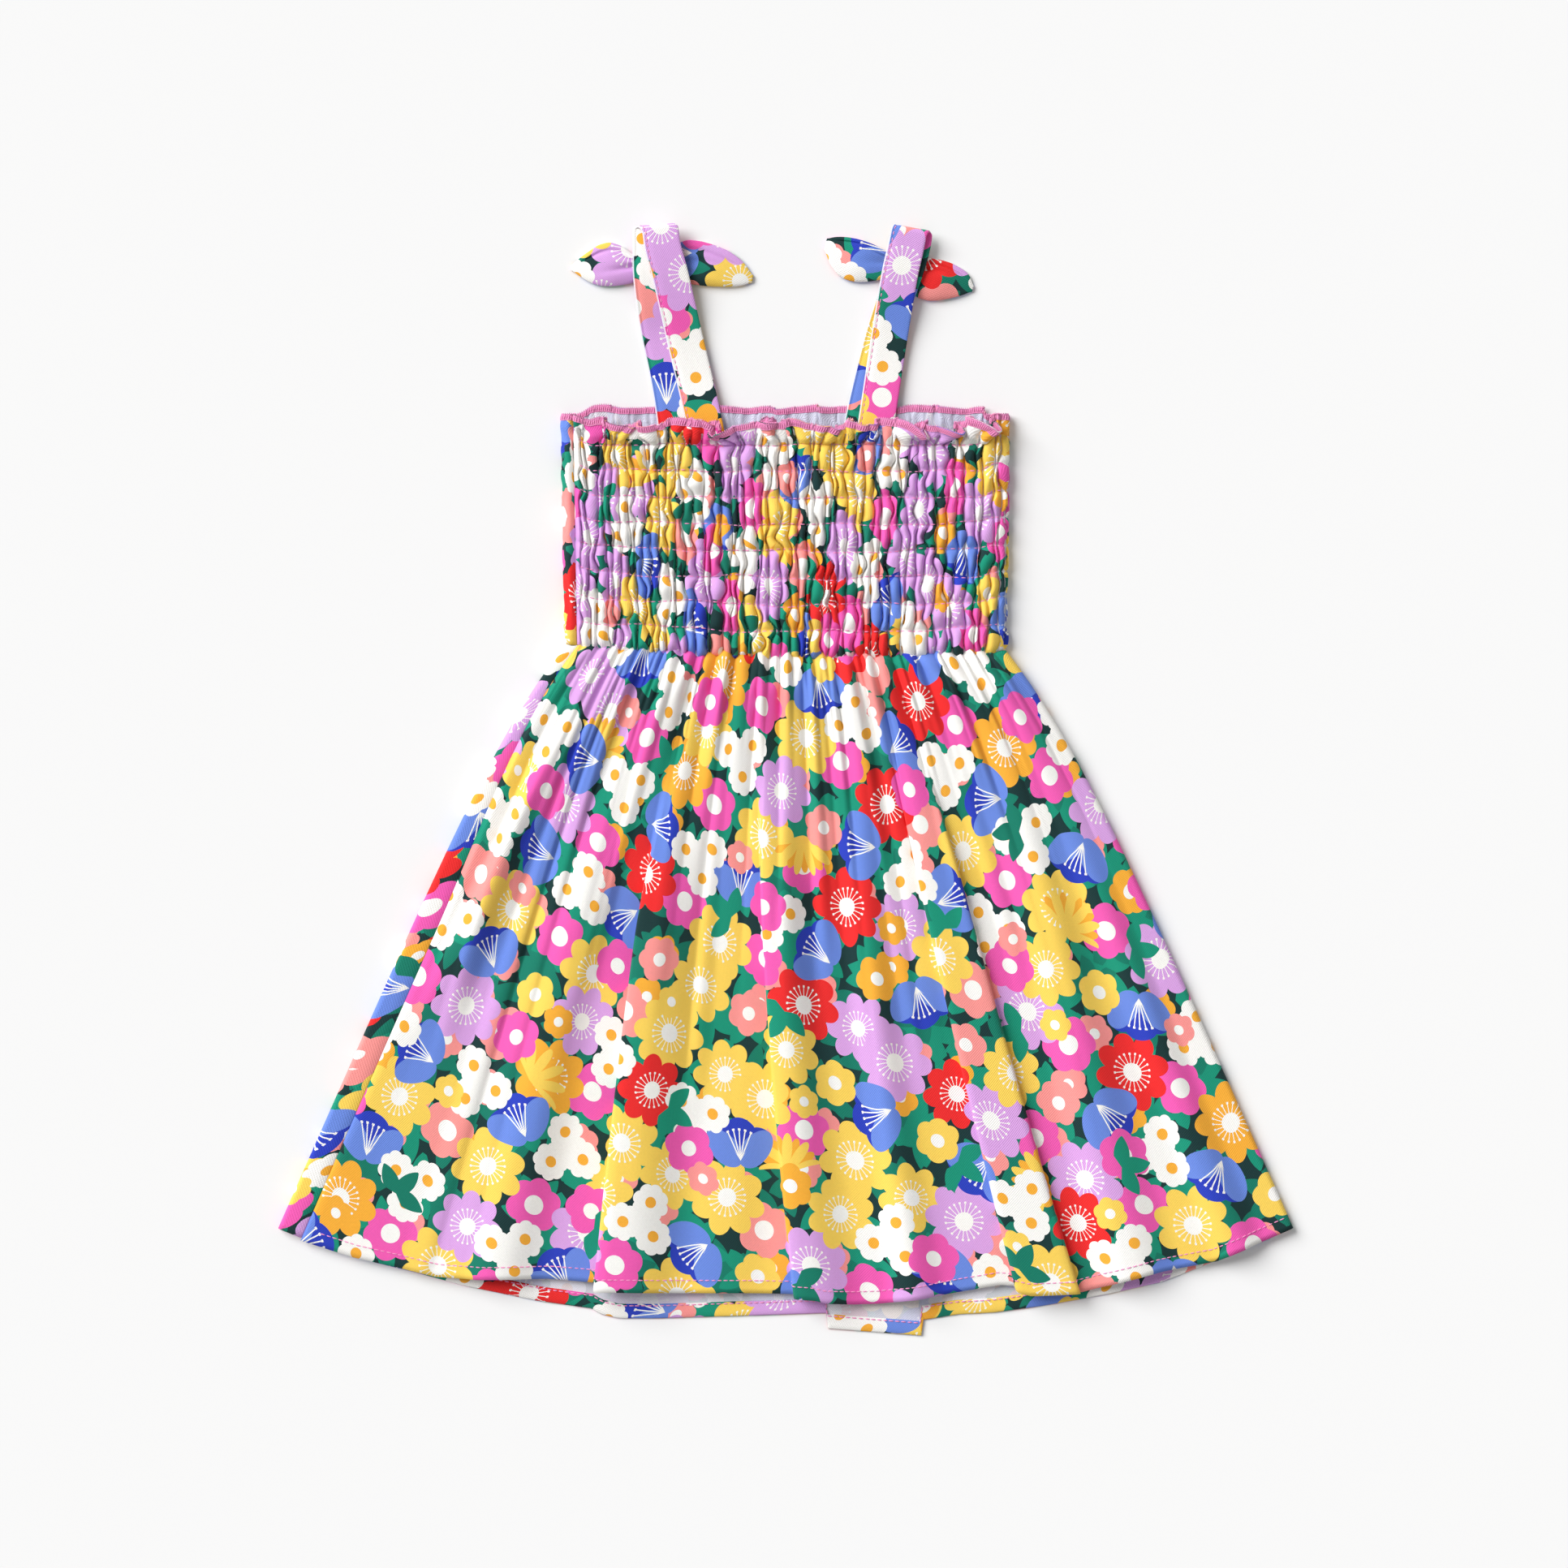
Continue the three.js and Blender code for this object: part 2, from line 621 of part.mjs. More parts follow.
// A closed body through rings of points, capped at both ends.
function lofted(rings) {
  const count = rings[0].length;
  const positions = rings.flat().flatMap((point) => [point.x, point.y, point.z]);
  const triangles = [];
  for (let i = 0; i + 1 < rings.length; i++)
    for (let j = 0; j < count; j++) {
      const next = (j + 1) % count;
      const [a, b] = [i * count + j, i * count + next];
      triangles.push(a, b, b + count, a, b + count, a + count);
    }
  const last = (rings.length - 1) * count;
  for (let j = 1; j + 1 < count; j++) {
    triangles.push(0, j + 1, j);
    triangles.push(last, last + j, last + j + 1);
  }
  const geometry = new THREE.BufferGeometry();
  geometry.setAttribute("position", new THREE.Float32BufferAttribute(positions, 3));
  geometry.setIndex(triangles);
  return geometry;
}

function bowEar(knot, { tip, sections }) {
  const way = new THREE.Vector3(tip.x - knot.x, tip.y - knot.y, 0);
  const facing = Math.sign(way.x);
  const upwards = new THREE.Vector3(-way.y, way.x, 0).normalize().multiplyScalar(facing);
  const rings = sections.map(({ along, above, below, height }) =>
    Array.from({ length: EAR_RING }, (_, k) => {
      const angle = (2 * Math.PI * k) / EAR_RING;
      const [aside, up] = [facing * Math.cos(angle), Math.sin(angle)];
      const trough = 0.3 * (1 - along) * Math.exp(-((aside / 0.3) ** 2));
      const point = new THREE.Vector3(knot.x, knot.y, 0).addScaledVector(way, along);
      point.z = (height / 2) * (up > 0 ? 1 + up * (1 - 2 * trough) : Math.max(0, 1 + 2 * up));
      return point.addScaledVector(upwards, aside * (aside > 0 ? above : below));
    }),
  );
  return lofted(rings);
}

function bow({ knot, ears }) {
  const middle = new THREE.SphereGeometry(1, 16, 10)
    .scale(KNOT.halfLength, KNOT.halfWidth, KNOT.halfHeight)
    .translate(knot.x, knot.y, KNOT.halfHeight);
  const sides = ears.map((ear) => toSolid(bowEar(knot, ear)));
  return toGeometry(toSolid(middle).add(sides[0]).add(sides[1]));
}

// The dress

const cloth = (colour) => new THREE.MeshStandardMaterial({ color: colour, roughness: 0.85, metalness: 0 });

function piece(name, geometry, material) {
  const mesh = new THREE.Mesh(geometry, material);
  mesh.name = name;
  return mesh;
}

const bandRows = Array.from({ length: 2 * BANDS + 1 }, (_, k) => k / 2);
const frillRows = [-1, -0.75, -0.5, -0.25];
const bodiceInnerRows = [-1, -0.5, 0, 2, 5, BANDS];

const print = cloth(0xd9a6a4);
const dress = new THREE.Group();
dress.add(
  piece("bodice_front", bodiceWall("front", 2 * PUCKERS + 1, [...frillRows, ...bandRows], bodiceInnerRows), print),
  piece("bodice_back", bodiceWall("back", 48, bodiceInnerRows, bodiceInnerRows), print),
  piece("skirt_front", skirtWall("front"), print),
  piece("skirt_back", skirtWall("back"), print),
  ...Object.entries(STRAPS).map(([name, points]) => piece(name, strapWall(points), print)),
  ...Object.entries(BOWS).map(([name, parts]) => piece(name, bow(parts), print)),
);

export default dress;
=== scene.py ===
"""A toddler's shirred sundress with bow-trimmed straps, laid flat on a pale floor.

The pieces are made in millimetres on the part's own frame: X runs across the dress, +Y from the
hem up to the straps, and Z is the height over the floor.
"""

import math

import bpy
import numpy as np
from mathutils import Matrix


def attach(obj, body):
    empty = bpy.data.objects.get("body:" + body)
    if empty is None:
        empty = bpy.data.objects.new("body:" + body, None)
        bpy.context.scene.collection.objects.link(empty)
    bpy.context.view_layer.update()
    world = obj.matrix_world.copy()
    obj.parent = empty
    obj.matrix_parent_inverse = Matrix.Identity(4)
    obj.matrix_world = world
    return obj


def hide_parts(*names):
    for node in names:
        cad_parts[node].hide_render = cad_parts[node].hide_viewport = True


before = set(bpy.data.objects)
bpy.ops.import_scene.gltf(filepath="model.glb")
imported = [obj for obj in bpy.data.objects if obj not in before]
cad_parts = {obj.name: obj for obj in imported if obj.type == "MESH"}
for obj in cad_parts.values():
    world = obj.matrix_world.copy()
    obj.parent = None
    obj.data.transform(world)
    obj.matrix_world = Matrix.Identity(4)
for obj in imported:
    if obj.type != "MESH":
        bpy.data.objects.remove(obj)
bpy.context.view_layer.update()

MM = 0.001
CUTS_PER_UV = 100  # mm of cut cloth to one step of the UV map "cut"
PRINT_SCALE = 1.13  # size of the print's motifs against the sizes in print_group
FAR_OFF = 99.0  # further than any motif reaches
TAU = 2 * math.pi

# The part's own sizes
WALL = 1.2  # wall of the solid panels, on whose outer face the cloth lies
CLOTH = 0.62  # thickness of the cloth itself
SEAM_GAP = 0.3
CHEST_HALF = 104.3
WAIST_HALF = 102.6
FIRST_ROW_Y = 159.0
FRONT_DIP = 3.6
BACK_RISE = 3.6
FRILL = 10.6
BANDS = 8
BODICE_TURN = 2.4
BODICE_SEAM_IN = 5
WAIST_Y = 55.5
WAIST_SIDE_RISE = 4.6
WAIST_TILT = -1.5
SKIRT_PUFF = 14.4
PUFF_LENGTH = 41
SKIRT_FLARE = 0.44
SKIRT_SIDE_DROP = 272.5
HEM_TURN = 1.5
SKIRT_SEAM_IN = 10
HEM_DEPTH = 6.0  # from the hem's edge up to its stitching

# Folds of the skirt's front: shares of the half width at the waist and at the hem; from, full
# and to are shares of the length; the rest in mm at the hem. columns lead up to a leaning fold.
FOLD_NAMES = ("waist", "hem", "start", "full", "to", "top", "left", "right", "height",
              "lean_left", "lean_right", "columns")
FOLDS = [dict(zip(FOLD_NAMES, row)) for row in (
    (-0.78, -0.98, 0.02, 0.20, 0.7, 0, 12, 26, 4.8, 0.0, 0, 0),
    (-0.60, -0.58, 0.12, 0.45, 1.5, 3, 24, 24, 5.0, 0.0, 0, 0),
    (-0.395, -0.333, 0.10, 0.45, 1.5, 3, 9, 34, 7.4, 9.5, 0, 96),
    (-0.09, 0.05, 0.08, 0.40, 1.5, 2, 8, 26, 6.0, 6.5, 0, 66),
    (0.20, 0.25, 0.10, 0.50, 1.5, 0, 14, 16, 3.8, 0.0, 0, 0),
    (0.39, 0.485, 0.05, 0.35, 1.5, 15, 7, 8, 5.4, 6.0, 6, 78),
    (0.74, 0.68, 0.10, 0.50, 1.5, 3, 19, 22, 5.4, 0.0, 0, 0),
    (0.88, 0.89, 0.20, 0.60, 1.5, 2, 12, 12, 3.8, 0.0, 0, 0),
    # short soft folds that leave the waist and die out
    (-0.88, -0.80, 0.02, 0.12, 0.75, 1, 7, 12, 1.7, 0.0, 0, 0),
    (-0.50, -0.56, 0.01, 0.10, 0.62, 1, 8, 10, 1.6, 0.0, 0, 0),
    (-0.24, -0.20, 0.01, 0.12, 0.80, 0, 7, 9, 1.5, 0.0, 0, 0),
    (0.09, 0.13, 0.01, 0.09, 0.55, 0, 6, 8, 1.9, 0.0, 0, 0),
    (0.29, 0.34, 0.01, 0.10, 0.72, 0, 7, 7, 1.7, 0.0, 0, 0),
    (0.58, 0.66, 0.01, 0.10, 0.60, 1, 8, 10, 1.8, 0.0, 0, 0),
    (0.83, 0.80, 0.01, 0.12, 0.50, 0, 6, 8, 1.6, 0.0, 0, 0),
    (-0.10, -0.13, 0.55, 0.85, 1.5, 2, 26, 20, 1.6, 0.0, 0, 0),
    (0.30, 0.27, 0.60, 0.90, 1.5, 2, 18, 16, 1.4, 0.0, 0, 0),
)]
FLANK_COLUMNS = 14
LAST_COLUMNS = 96

# The hems as they lie, from left to right: x and y in mm
FRONT_HEM = (
    (-237.4, -210.9), (-230.7, -215.3), (-202.5, -224.4), (-180.9, -229.3), (-163.8, -233.5),
    (-144.4, -234.7), (-111.3, -234.4), (-92.0, -236.0), (-88.6, -236.4), (-79.6, -240.3),
    (-49.4, -241.1), (-20.5, -241.1), (2.7, -241.5), (11.0, -243.4), (19.0, -245.7),
    (31.9, -246.4), (43.7, -246.1), (62.7, -243.8), (82.0, -240.4), (100.7, -237.3),
    (109.0, -238.0), (118.2, -242.2), (138.3, -240.7), (174.8, -231.2), (201.4, -226.3),
    (237.4, -210.8),
)
BACK_HEM = (
    (-237.4, -211.0), (-205.0, -224.0), (-174.0, -231.6), (-150.1, -238.1), (-117.0, -244.9),
    (-90.3, -248.7), (-87.8, -251.0), (-78.3, -253.3), (-61.2, -253.3), (-20.5, -252.1),
    (19.0, -250.8), (63.5, -254.2), (80.6, -251.4), (96.9, -250.6), (119.3, -247.6),
    (150.9, -241.9), (176.3, -236.2), (192.7, -229.7), (237.4, -212.0),
)
BACK_PLEAT = {"left": 19.8, "right": 63.5, "corner": 1.0, "drop": 7.2}

# Straps: points of the middle line, both legs upwards
STRAP_WIDTH = 17
CROSS_STITCH_Y = 173.5  # where the back legs are sewn to the frill
STRAP_THICK = 1.2
STRAPS = {
    "strap_left": {
        "back": ((-50.5, 155.8, 2.1), (-52.4, 172.0, 2.1), (-55.5, 190.0, 1.1), (-59.2, 208.0, 1.4),
                 (-61.4, 222.0, 3.9), (-62.9, 236.0, 5.6), (-62.9, 248.0, 5.4), (-62.7, 256.0, 4.6)),
        "front": ((-36.1, 155.8, 3.9), (-38.9, 169.5, 3.9), (-43.1, 188.0, 2.9), (-47.4, 206.0, 3.4),
                  (-51.0, 222.0, 5.6), (-54.3, 236.0, 7.3), (-57.5, 248.0, 7.9), (-58.7, 256.0, 7.8)),
    },
    "strap_right": {
        "back": ((34.2, 155.8, 2.1), (37.2, 172.0, 2.1), (41.4, 190.0, 1.1), (45.8, 207.0, 1.4),
                 (50.6, 222.0, 3.9), (55.6, 236.0, 5.6), (58.9, 247.0, 5.4), (60.0, 254.6, 4.6)),
        "front": ((40.7, 155.8, 3.9), (42.9, 169.5, 3.9), (45.7, 188.0, 2.9), (48.5, 206.0, 3.4),
                  (51.1, 222.0, 5.6), (53.5, 236.0, 7.3), (56.0, 247.0, 7.9), (57.6, 254.6, 7.8)),
    },
}

# Bows: the knot, and for each ear its tip and sections as (share along, above and below the
# line from knot to tip in mm, height)
KNOT = {"half_length": 6.5, "half_width": 7.0, "half_height": 2.35}
BOWS = {
    "bow_left": {
        "knot": (-60.5, 241.0),
        "ears": (
            {"tip": (-100.6, 238.4), "sections": (
                (0.04, 3.0, 3.6, 2.6), (0.16, 2.6, 6.4, 2.8), (0.28, 4.6, 9.0, 3.0),
                (0.39, 8.6, 9.7, 3.0),
                (0.53, 10.8, 10.0, 3.0), (0.66, 9.8, 9.6, 2.9), (0.78, 7.0, 7.8, 2.7),
                (0.88, 4.4, 5.0, 2.3),
                (0.95, 2.4, 2.7, 1.8), (1.0, 0.7, 0.9, 1.2))},
            {"tip": (-15.4, 232.9), "sections": (
                (0.04, 3.2, 4.0, 2.6), (0.14, 9.0, 6.4, 2.8), (0.27, 12.9, 7.3, 3.0),
                (0.42, 13.3, 7.4, 3.0),
                (0.56, 12.6, 6.9, 3.0), (0.70, 11.2, 6.1, 2.9), (0.80, 9.2, 5.2, 2.7),
                (0.88, 7.0, 4.2, 2.4),
                (0.95, 4.0, 2.8, 1.9), (1.0, 1.2, 1.2, 1.2))},
        ),
    },
    "bow_right": {
        "knot": (54.5, 240.5),
        "ears": (
            {"tip": (18.8, 250.3), "sections": (
                (0.04, 3.0, 4.0, 2.6), (0.18, 3.4, 9.6, 2.8), (0.33, 4.4, 12.4, 3.0),
                (0.48, 5.2, 14.2, 3.0),
                (0.62, 5.4, 14.6, 3.0), (0.75, 5.0, 13.2, 2.8), (0.85, 4.2, 10.4, 2.5),
                (0.93, 3.2, 7.0, 2.0),
                (1.0, 1.6, 2.8, 1.3))},
            {"tip": (87.6, 228.3), "sections": (
                (0.04, 3.2, 4.2, 2.6), (0.18, 5.4, 9.6, 2.8), (0.34, 6.8, 12.8, 3.0),
                (0.50, 7.8, 12.4, 3.0),
                (0.62, 8.0, 10.6, 3.0), (0.74, 7.4, 8.2, 2.8), (0.86, 6.4, 5.4, 2.4),
                (0.94, 4.0, 3.0, 1.9),
                (1.0, 1.0, 0.9, 1.2))},
        ),
    },
}


# Small helpers

def mix(a, b, share):
    return a + (b - a) * share


def smooth(low, high, value):
    share = np.clip((value - low) / (high - low), 0.0, 1.0)
    return share * share * (3 - 2 * share)


def at_points(table, x):
    """A value read off a table of (x, value) pairs."""
    return np.interp(x, [row[0] for row in table], [row[1] for row in table])


def normals_of(net):
    """Unit normals of a net whose rows run down the dress and whose columns run across."""
    down = np.gradient(net, axis=0)
    across = np.gradient(net, axis=1)
    normal = np.cross(down, across)
    return normal / np.maximum(np.linalg.norm(normal, axis=2, keepdims=True), 1e-9)


def arc_along(net):
    """Distance along each row of a net, from its first column."""
    step = np.linalg.norm(np.diff(net, axis=1), axis=2)
    return np.concatenate([np.zeros((len(net), 1)), np.cumsum(step, axis=1)], axis=1)


def on_net(net, row, column):
    """Points of a net at fractional rows and columns."""
    row = np.clip(row, 0, net.shape[0] - 1.001)
    column = np.clip(column, 0, net.shape[1] - 1.001)
    i, j = row.astype(int), column.astype(int)
    u, v = (row - i)[:, None], (column - j)[:, None]
    upper = mix(net[i, j], net[i, j + 1], v)
    lower = mix(net[i + 1, j], net[i + 1, j + 1], v)
    return mix(upper, lower, u)


# The camera looks straight down, as the photograph was taken

def add_camera():
    view_width, distance, sensor = 0.734, 2.6, 36.0
    data = bpy.data.cameras.new("camera")
    data.sensor_width = sensor
    data.lens = sensor * distance / view_width
    data.clip_end = 20
    camera = bpy.data.objects.new("camera", data)
    camera.location = (-0.0008, -0.0032, distance)
    bpy.context.scene.collection.objects.link(camera)
    bpy.context.scene.camera = camera


add_camera()


# Materials

def linear(red, green, blue):
    """A colour given in ordinary 0 to 255 steps, as the shader wants it."""
    def one(value):
        value /= 255
        return value / 12.92 if value <= 0.04045 else ((value + 0.055) / 1.055) ** 2.4
    return one(red), one(green), one(blue), 1.0


COLOURS = {
    "ground": linear(14, 52, 52),
    "emerald": linear(14, 146, 117),
    "deep_leaf": linear(10, 122, 100),
    "yellow": linear(252, 212, 92),
    "orange": linear(249, 176, 56),
    "pink": linear(243, 92, 180),
    "lilac": linear(219, 164, 228),
    "red": linear(236, 40, 40),
    "white": linear(251, 249, 245),
    "salmon": linear(251, 152, 148),
    "periwinkle": linear(106, 138, 222),
    "cobalt": linear(40, 62, 188),
    "thread": linear(250, 158, 206),
    "thread_base": linear(236, 140, 192),
    "wrong_side": linear(232, 232, 242),
}


class Graph:
    """Adds shader nodes to a tree and wires them up."""

    def __init__(self, tree):
        self.tree = tree

    def node(self, kind, **settings):
        made = self.tree.nodes.new(kind)
        for name, value in settings.items():
            setattr(made, name, value)
        return made

    def plug(self, socket, value):
        if isinstance(value, bpy.types.NodeSocket):
            self.tree.links.new(value, socket)
        elif value is not None:
            socket.default_value = value[:3] if socket.type == "VECTOR" else value

    def math(self, operation, a, b=None, c=None):
        made = self.node("ShaderNodeMath", operation=operation)
        for socket, value in zip(made.inputs, (a, b, c)):
            self.plug(socket, value)
        return made.outputs[0]

    def vector(self, operation, a, b=None, c=None):
        made = self.node("ShaderNodeVectorMath", operation=operation)
        for socket, value in zip(made.inputs, (a, b, c)):
            self.plug(socket, value)
        return made.outputs["Value" if operation in ("LENGTH", "DOT_PRODUCT") else "Vector"]

    def over(self, below, colour, mask):
        """colour laid over what is below it, where the mask is 1."""
        made = self.node("ShaderNodeMix", data_type="RGBA")
        self.plug(made.inputs[0], mask)
        self.plug(made.inputs[6], below)
        self.plug(made.inputs[7], colour)
        return made.outputs[2]

    def less(self, a, b):
        return self.math("LESS_THAN", a, b)

    def both(self, a, b):
        return self.math("MULTIPLY", a, b)

    def within(self, value, span):
        """1 where a value lies between the two ends of a span."""
        return self.math("COMPARE", value, (span[0] + span[1]) / 2, (span[1] - span[0]) / 2)

    def choose(self, value, stops):
        """One of several colours, by a number from 0 to 1; stops are (from, colour name)."""
        made = self.node("ShaderNodeValToRGB")
        ramp = made.color_ramp
        ramp.interpolation = "CONSTANT"
        while len(ramp.elements) < len(stops):
            ramp.elements.new(0.5)
        for element, (start, name) in zip(ramp.elements, stops):
            element.position = start
            element.color = COLOURS[name]
        self.plug(made.inputs[0], value)
        return made.outputs[0]

    def lattice(self, cell, turn, shift, seed, jitter, span=(0, 1)):
        """One motif's own place in each cell: its distance in mm and angle from the middle,
        turned at random, and two random numbers. Cells whose first number lies outside the span
        are left empty."""
        mapping = self.node("ShaderNodeMapping")
        mapping.inputs["Scale"].default_value = (1 / cell, 1 / cell, 1)
        mapping.inputs["Rotation"].default_value = (0, 0, math.radians(turn))
        mapping.inputs["Location"].default_value = (shift[0], shift[1], seed + 0.5)
        self.plug(mapping.inputs["Vector"], self.place)
        place = mapping.outputs[0]
        noise = self.node("ShaderNodeTexWhiteNoise", noise_dimensions="3D")
        self.plug(noise.inputs["Vector"], self.vector("FLOOR", place))
        half = 0.5 - jitter / 2
        middle = self.vector("MULTIPLY_ADD", noise.outputs["Color"], (jitter,) * 3, (half,) * 3)
        local = self.vector("SUBTRACT", self.vector("FRACTION", place), middle)
        local = self.vector("MULTIPLY", local, (cell, cell, 0))
        split = self.node("ShaderNodeSeparateXYZ")
        self.plug(split.inputs[0], local)
        angle = self.math("ARCTAN2", split.outputs["Y"], split.outputs["X"])
        chance = noise.outputs["Value"]
        angle = self.math("MULTIPLY_ADD", chance, 37.0, angle)
        tone = self.math("FRACT", self.math("MULTIPLY", chance, 17.0))
        absent = self.math("SUBTRACT", 1.0, self.within(chance, span))
        radius = self.math("MULTIPLY_ADD", absent, FAR_OFF, self.vector("LENGTH", local))
        return radius, angle, chance, tone

    def petals(self, radius, angle, count, reach, notch, power=0.8):
        """1 inside a flower of rounded petals. notch is the depth between them, as a share."""
        lobes = self.math("ABSOLUTE", self.math("COSINE", self.math("MULTIPLY", angle, count / 2)))
        lobes = self.math("POWER", lobes, power)
        edge = self.math("MULTIPLY_ADD", lobes, reach * notch, reach * (1 - notch))
        return self.less(radius, edge)

    def sector(self, angle, count):
        """The angle folded into one of several equal sectors."""
        return self.math("WRAP", angle, math.pi / count, -math.pi / count)

    def offset(self, radius, angle, distance):
        """Distance and angle from a point that lies some way out along angle 0."""
        x = self.math("SUBTRACT", self.both(radius, self.math("COSINE", angle)), distance)
        y = self.both(radius, self.math("SINE", angle))
        square = self.math("MULTIPLY_ADD", x, x, self.both(y, y))
        return x, y, self.math("SQRT", square)


def leaf_layer(g, below, cell, turn, shift, seed, jitter, count, reach, width, stops, share=1.0):
    """Pointed leaves round a middle. A share below 1 leaves cells empty and opens the ring."""
    radius, angle, chance, tone = g.lattice(cell, turn, shift, seed, jitter)
    folded = g.sector(angle, count)
    aside = g.math("ABSOLUTE", g.both(radius, g.math("SINE", folded)))
    along = g.math("DIVIDE", radius, reach)
    swell = g.both(along, g.math("SUBTRACT", 1.0, along))
    mask = g.less(aside, g.math("MULTIPLY_ADD", swell, 4 * width, 0.28))
    mask = g.both(mask, g.less(radius, reach))
    if share < 1:
        fan = g.less(g.math("ABSOLUTE", g.sector(angle, 1)), 1.9)
        mask = g.both(g.both(mask, fan), g.less(chance, share))
    return g.over(below, g.choose(tone, stops), mask)


def big_flowers(g, below, cell, turn, shift, seed, jitter, reach, stops, span=(0, 1)):
    """Eight petals, stamens with knobs and a white heart."""
    radius, angle, _, tone = g.lattice(cell, turn, shift, seed, jitter, span)
    radius = g.both(radius, 16.4 / reach)
    shape = g.petals(radius, angle, 8, 16.4, 0.27)
    colour = g.over(below, g.choose(tone, stops), shape)
    spokes = g.math("ABSOLUTE", g.math("SINE", g.math("MULTIPLY", angle, 10.0)))
    spokes = g.math("MULTIPLY", g.both(radius, spokes), 0.1)
    knobs = g.math("MULTIPLY_ADD", g.math("GREATER_THAN", radius, 7.3), 0.26, 0.17)
    stamens = g.both(g.less(spokes, knobs), g.less(radius, 8.2))
    heart = g.math("MAXIMUM", stamens, g.less(radius, 3.9))
    return g.over(colour, COLOURS["white"], heart)


def white_clusters(g, below, cell, turn, shift, seed, span):
    """Three white blossoms with orange hearts."""
    radius, angle, _, _ = g.lattice(cell, turn, shift, seed, 0.12, span)
    folded = g.sector(angle, 3)
    x, y, distance = g.offset(radius, folded, 8.2)
    bloom_angle = g.math("ARCTAN2", y, x)
    shape = g.petals(distance, bloom_angle, 8, 8.0, 0.14, 0.7)
    shape = g.math("MAXIMUM", shape, g.less(radius, 3.8))
    colour = g.over(below, COLOURS["white"], shape)
    return g.over(colour, COLOURS["orange"], g.less(distance, 2.35))


def plain_flowers(g, below, cell, turn, shift, seed, jitter, reach, disc, stops, span):
    """Six round petals and a white disc."""
    radius, angle, _, tone = g.lattice(cell, turn, shift, seed, jitter, span)
    shape = g.petals(radius, angle, 6, reach, 0.17, 0.9)
    colour = g.over(below, g.choose(tone, stops), shape)
    return g.over(colour, COLOURS["white"], g.less(radius, disc))


def spiky_flowers(g, below, cell, turn, shift, seed):
    """Half a daisy: two rows of pointed petals."""
    radius, angle, _, _ = g.lattice(cell, turn, shift, seed, 0.2)
    wrapped = g.sector(angle, 1)
    upper = g.less(g.math("ABSOLUTE", wrapped), 1.45)
    back = g.both(g.petals(radius, angle, 11, 15.5, 0.6, 1.0), upper)
    front = g.both(g.petals(radius, g.math("ADD", angle, 0.285), 11, 16.5, 0.62, 1.0), upper)
    colour = g.over(below, COLOURS["orange"], back)
    return g.over(colour, COLOURS["yellow"], front)


def cup_flowers(g, below, cell, turn, shift, seed, span):
    """A blue cup from the side: a fan behind two leaning petals, with stamens."""
    radius, angle, _, _ = g.lattice(cell, turn, shift, seed, 0.12, span)
    wrapped = g.sector(angle, 1)
    folded = g.math("ABSOLUTE", wrapped)
    x, y, distance = g.offset(radius, wrapped, -6.0)
    fan_angle = g.math("ABSOLUTE", g.math("ARCTAN2", y, x))
    back = g.both(g.petals(distance, fan_angle, 7.2, 18.0, 0.12), g.less(fan_angle, 0.86))
    colour = g.over(below, COLOURS["cobalt"], back)
    px = g.math("SUBTRACT", g.both(radius, g.math("COSINE", folded)), -0.8)
    py = g.math("SUBTRACT", g.both(radius, g.math("SINE", folded)), 6.9)
    lean_cos, lean_sin = math.cos(0.75), math.sin(0.75)
    long = g.math("MULTIPLY_ADD", px, lean_cos, g.math("MULTIPLY", py, lean_sin))
    short = g.math("MULTIPLY_ADD", px, -lean_sin, g.math("MULTIPLY", py, lean_cos))
    long = g.math("DIVIDE", long, 9.6)
    short = g.math("DIVIDE", short, 5.7)
    petal = g.less(g.math("MULTIPLY_ADD", long, long, g.both(short, short)), 1.0)
    colour = g.over(colour, COLOURS["periwinkle"], petal)
    ray = g.sector(fan_angle, math.pi / 0.1)
    ray = g.both(distance, g.math("ABSOLUTE", ray))
    knobs = g.math("MULTIPLY_ADD", g.math("GREATER_THAN", distance, 12.6), 0.3, 0.26)
    stamens = g.both(g.less(ray, knobs), g.less(distance, 13.5))
    stamens = g.both(stamens, g.less(fan_angle, 0.55))
    return g.over(colour, COLOURS["white"], stamens)


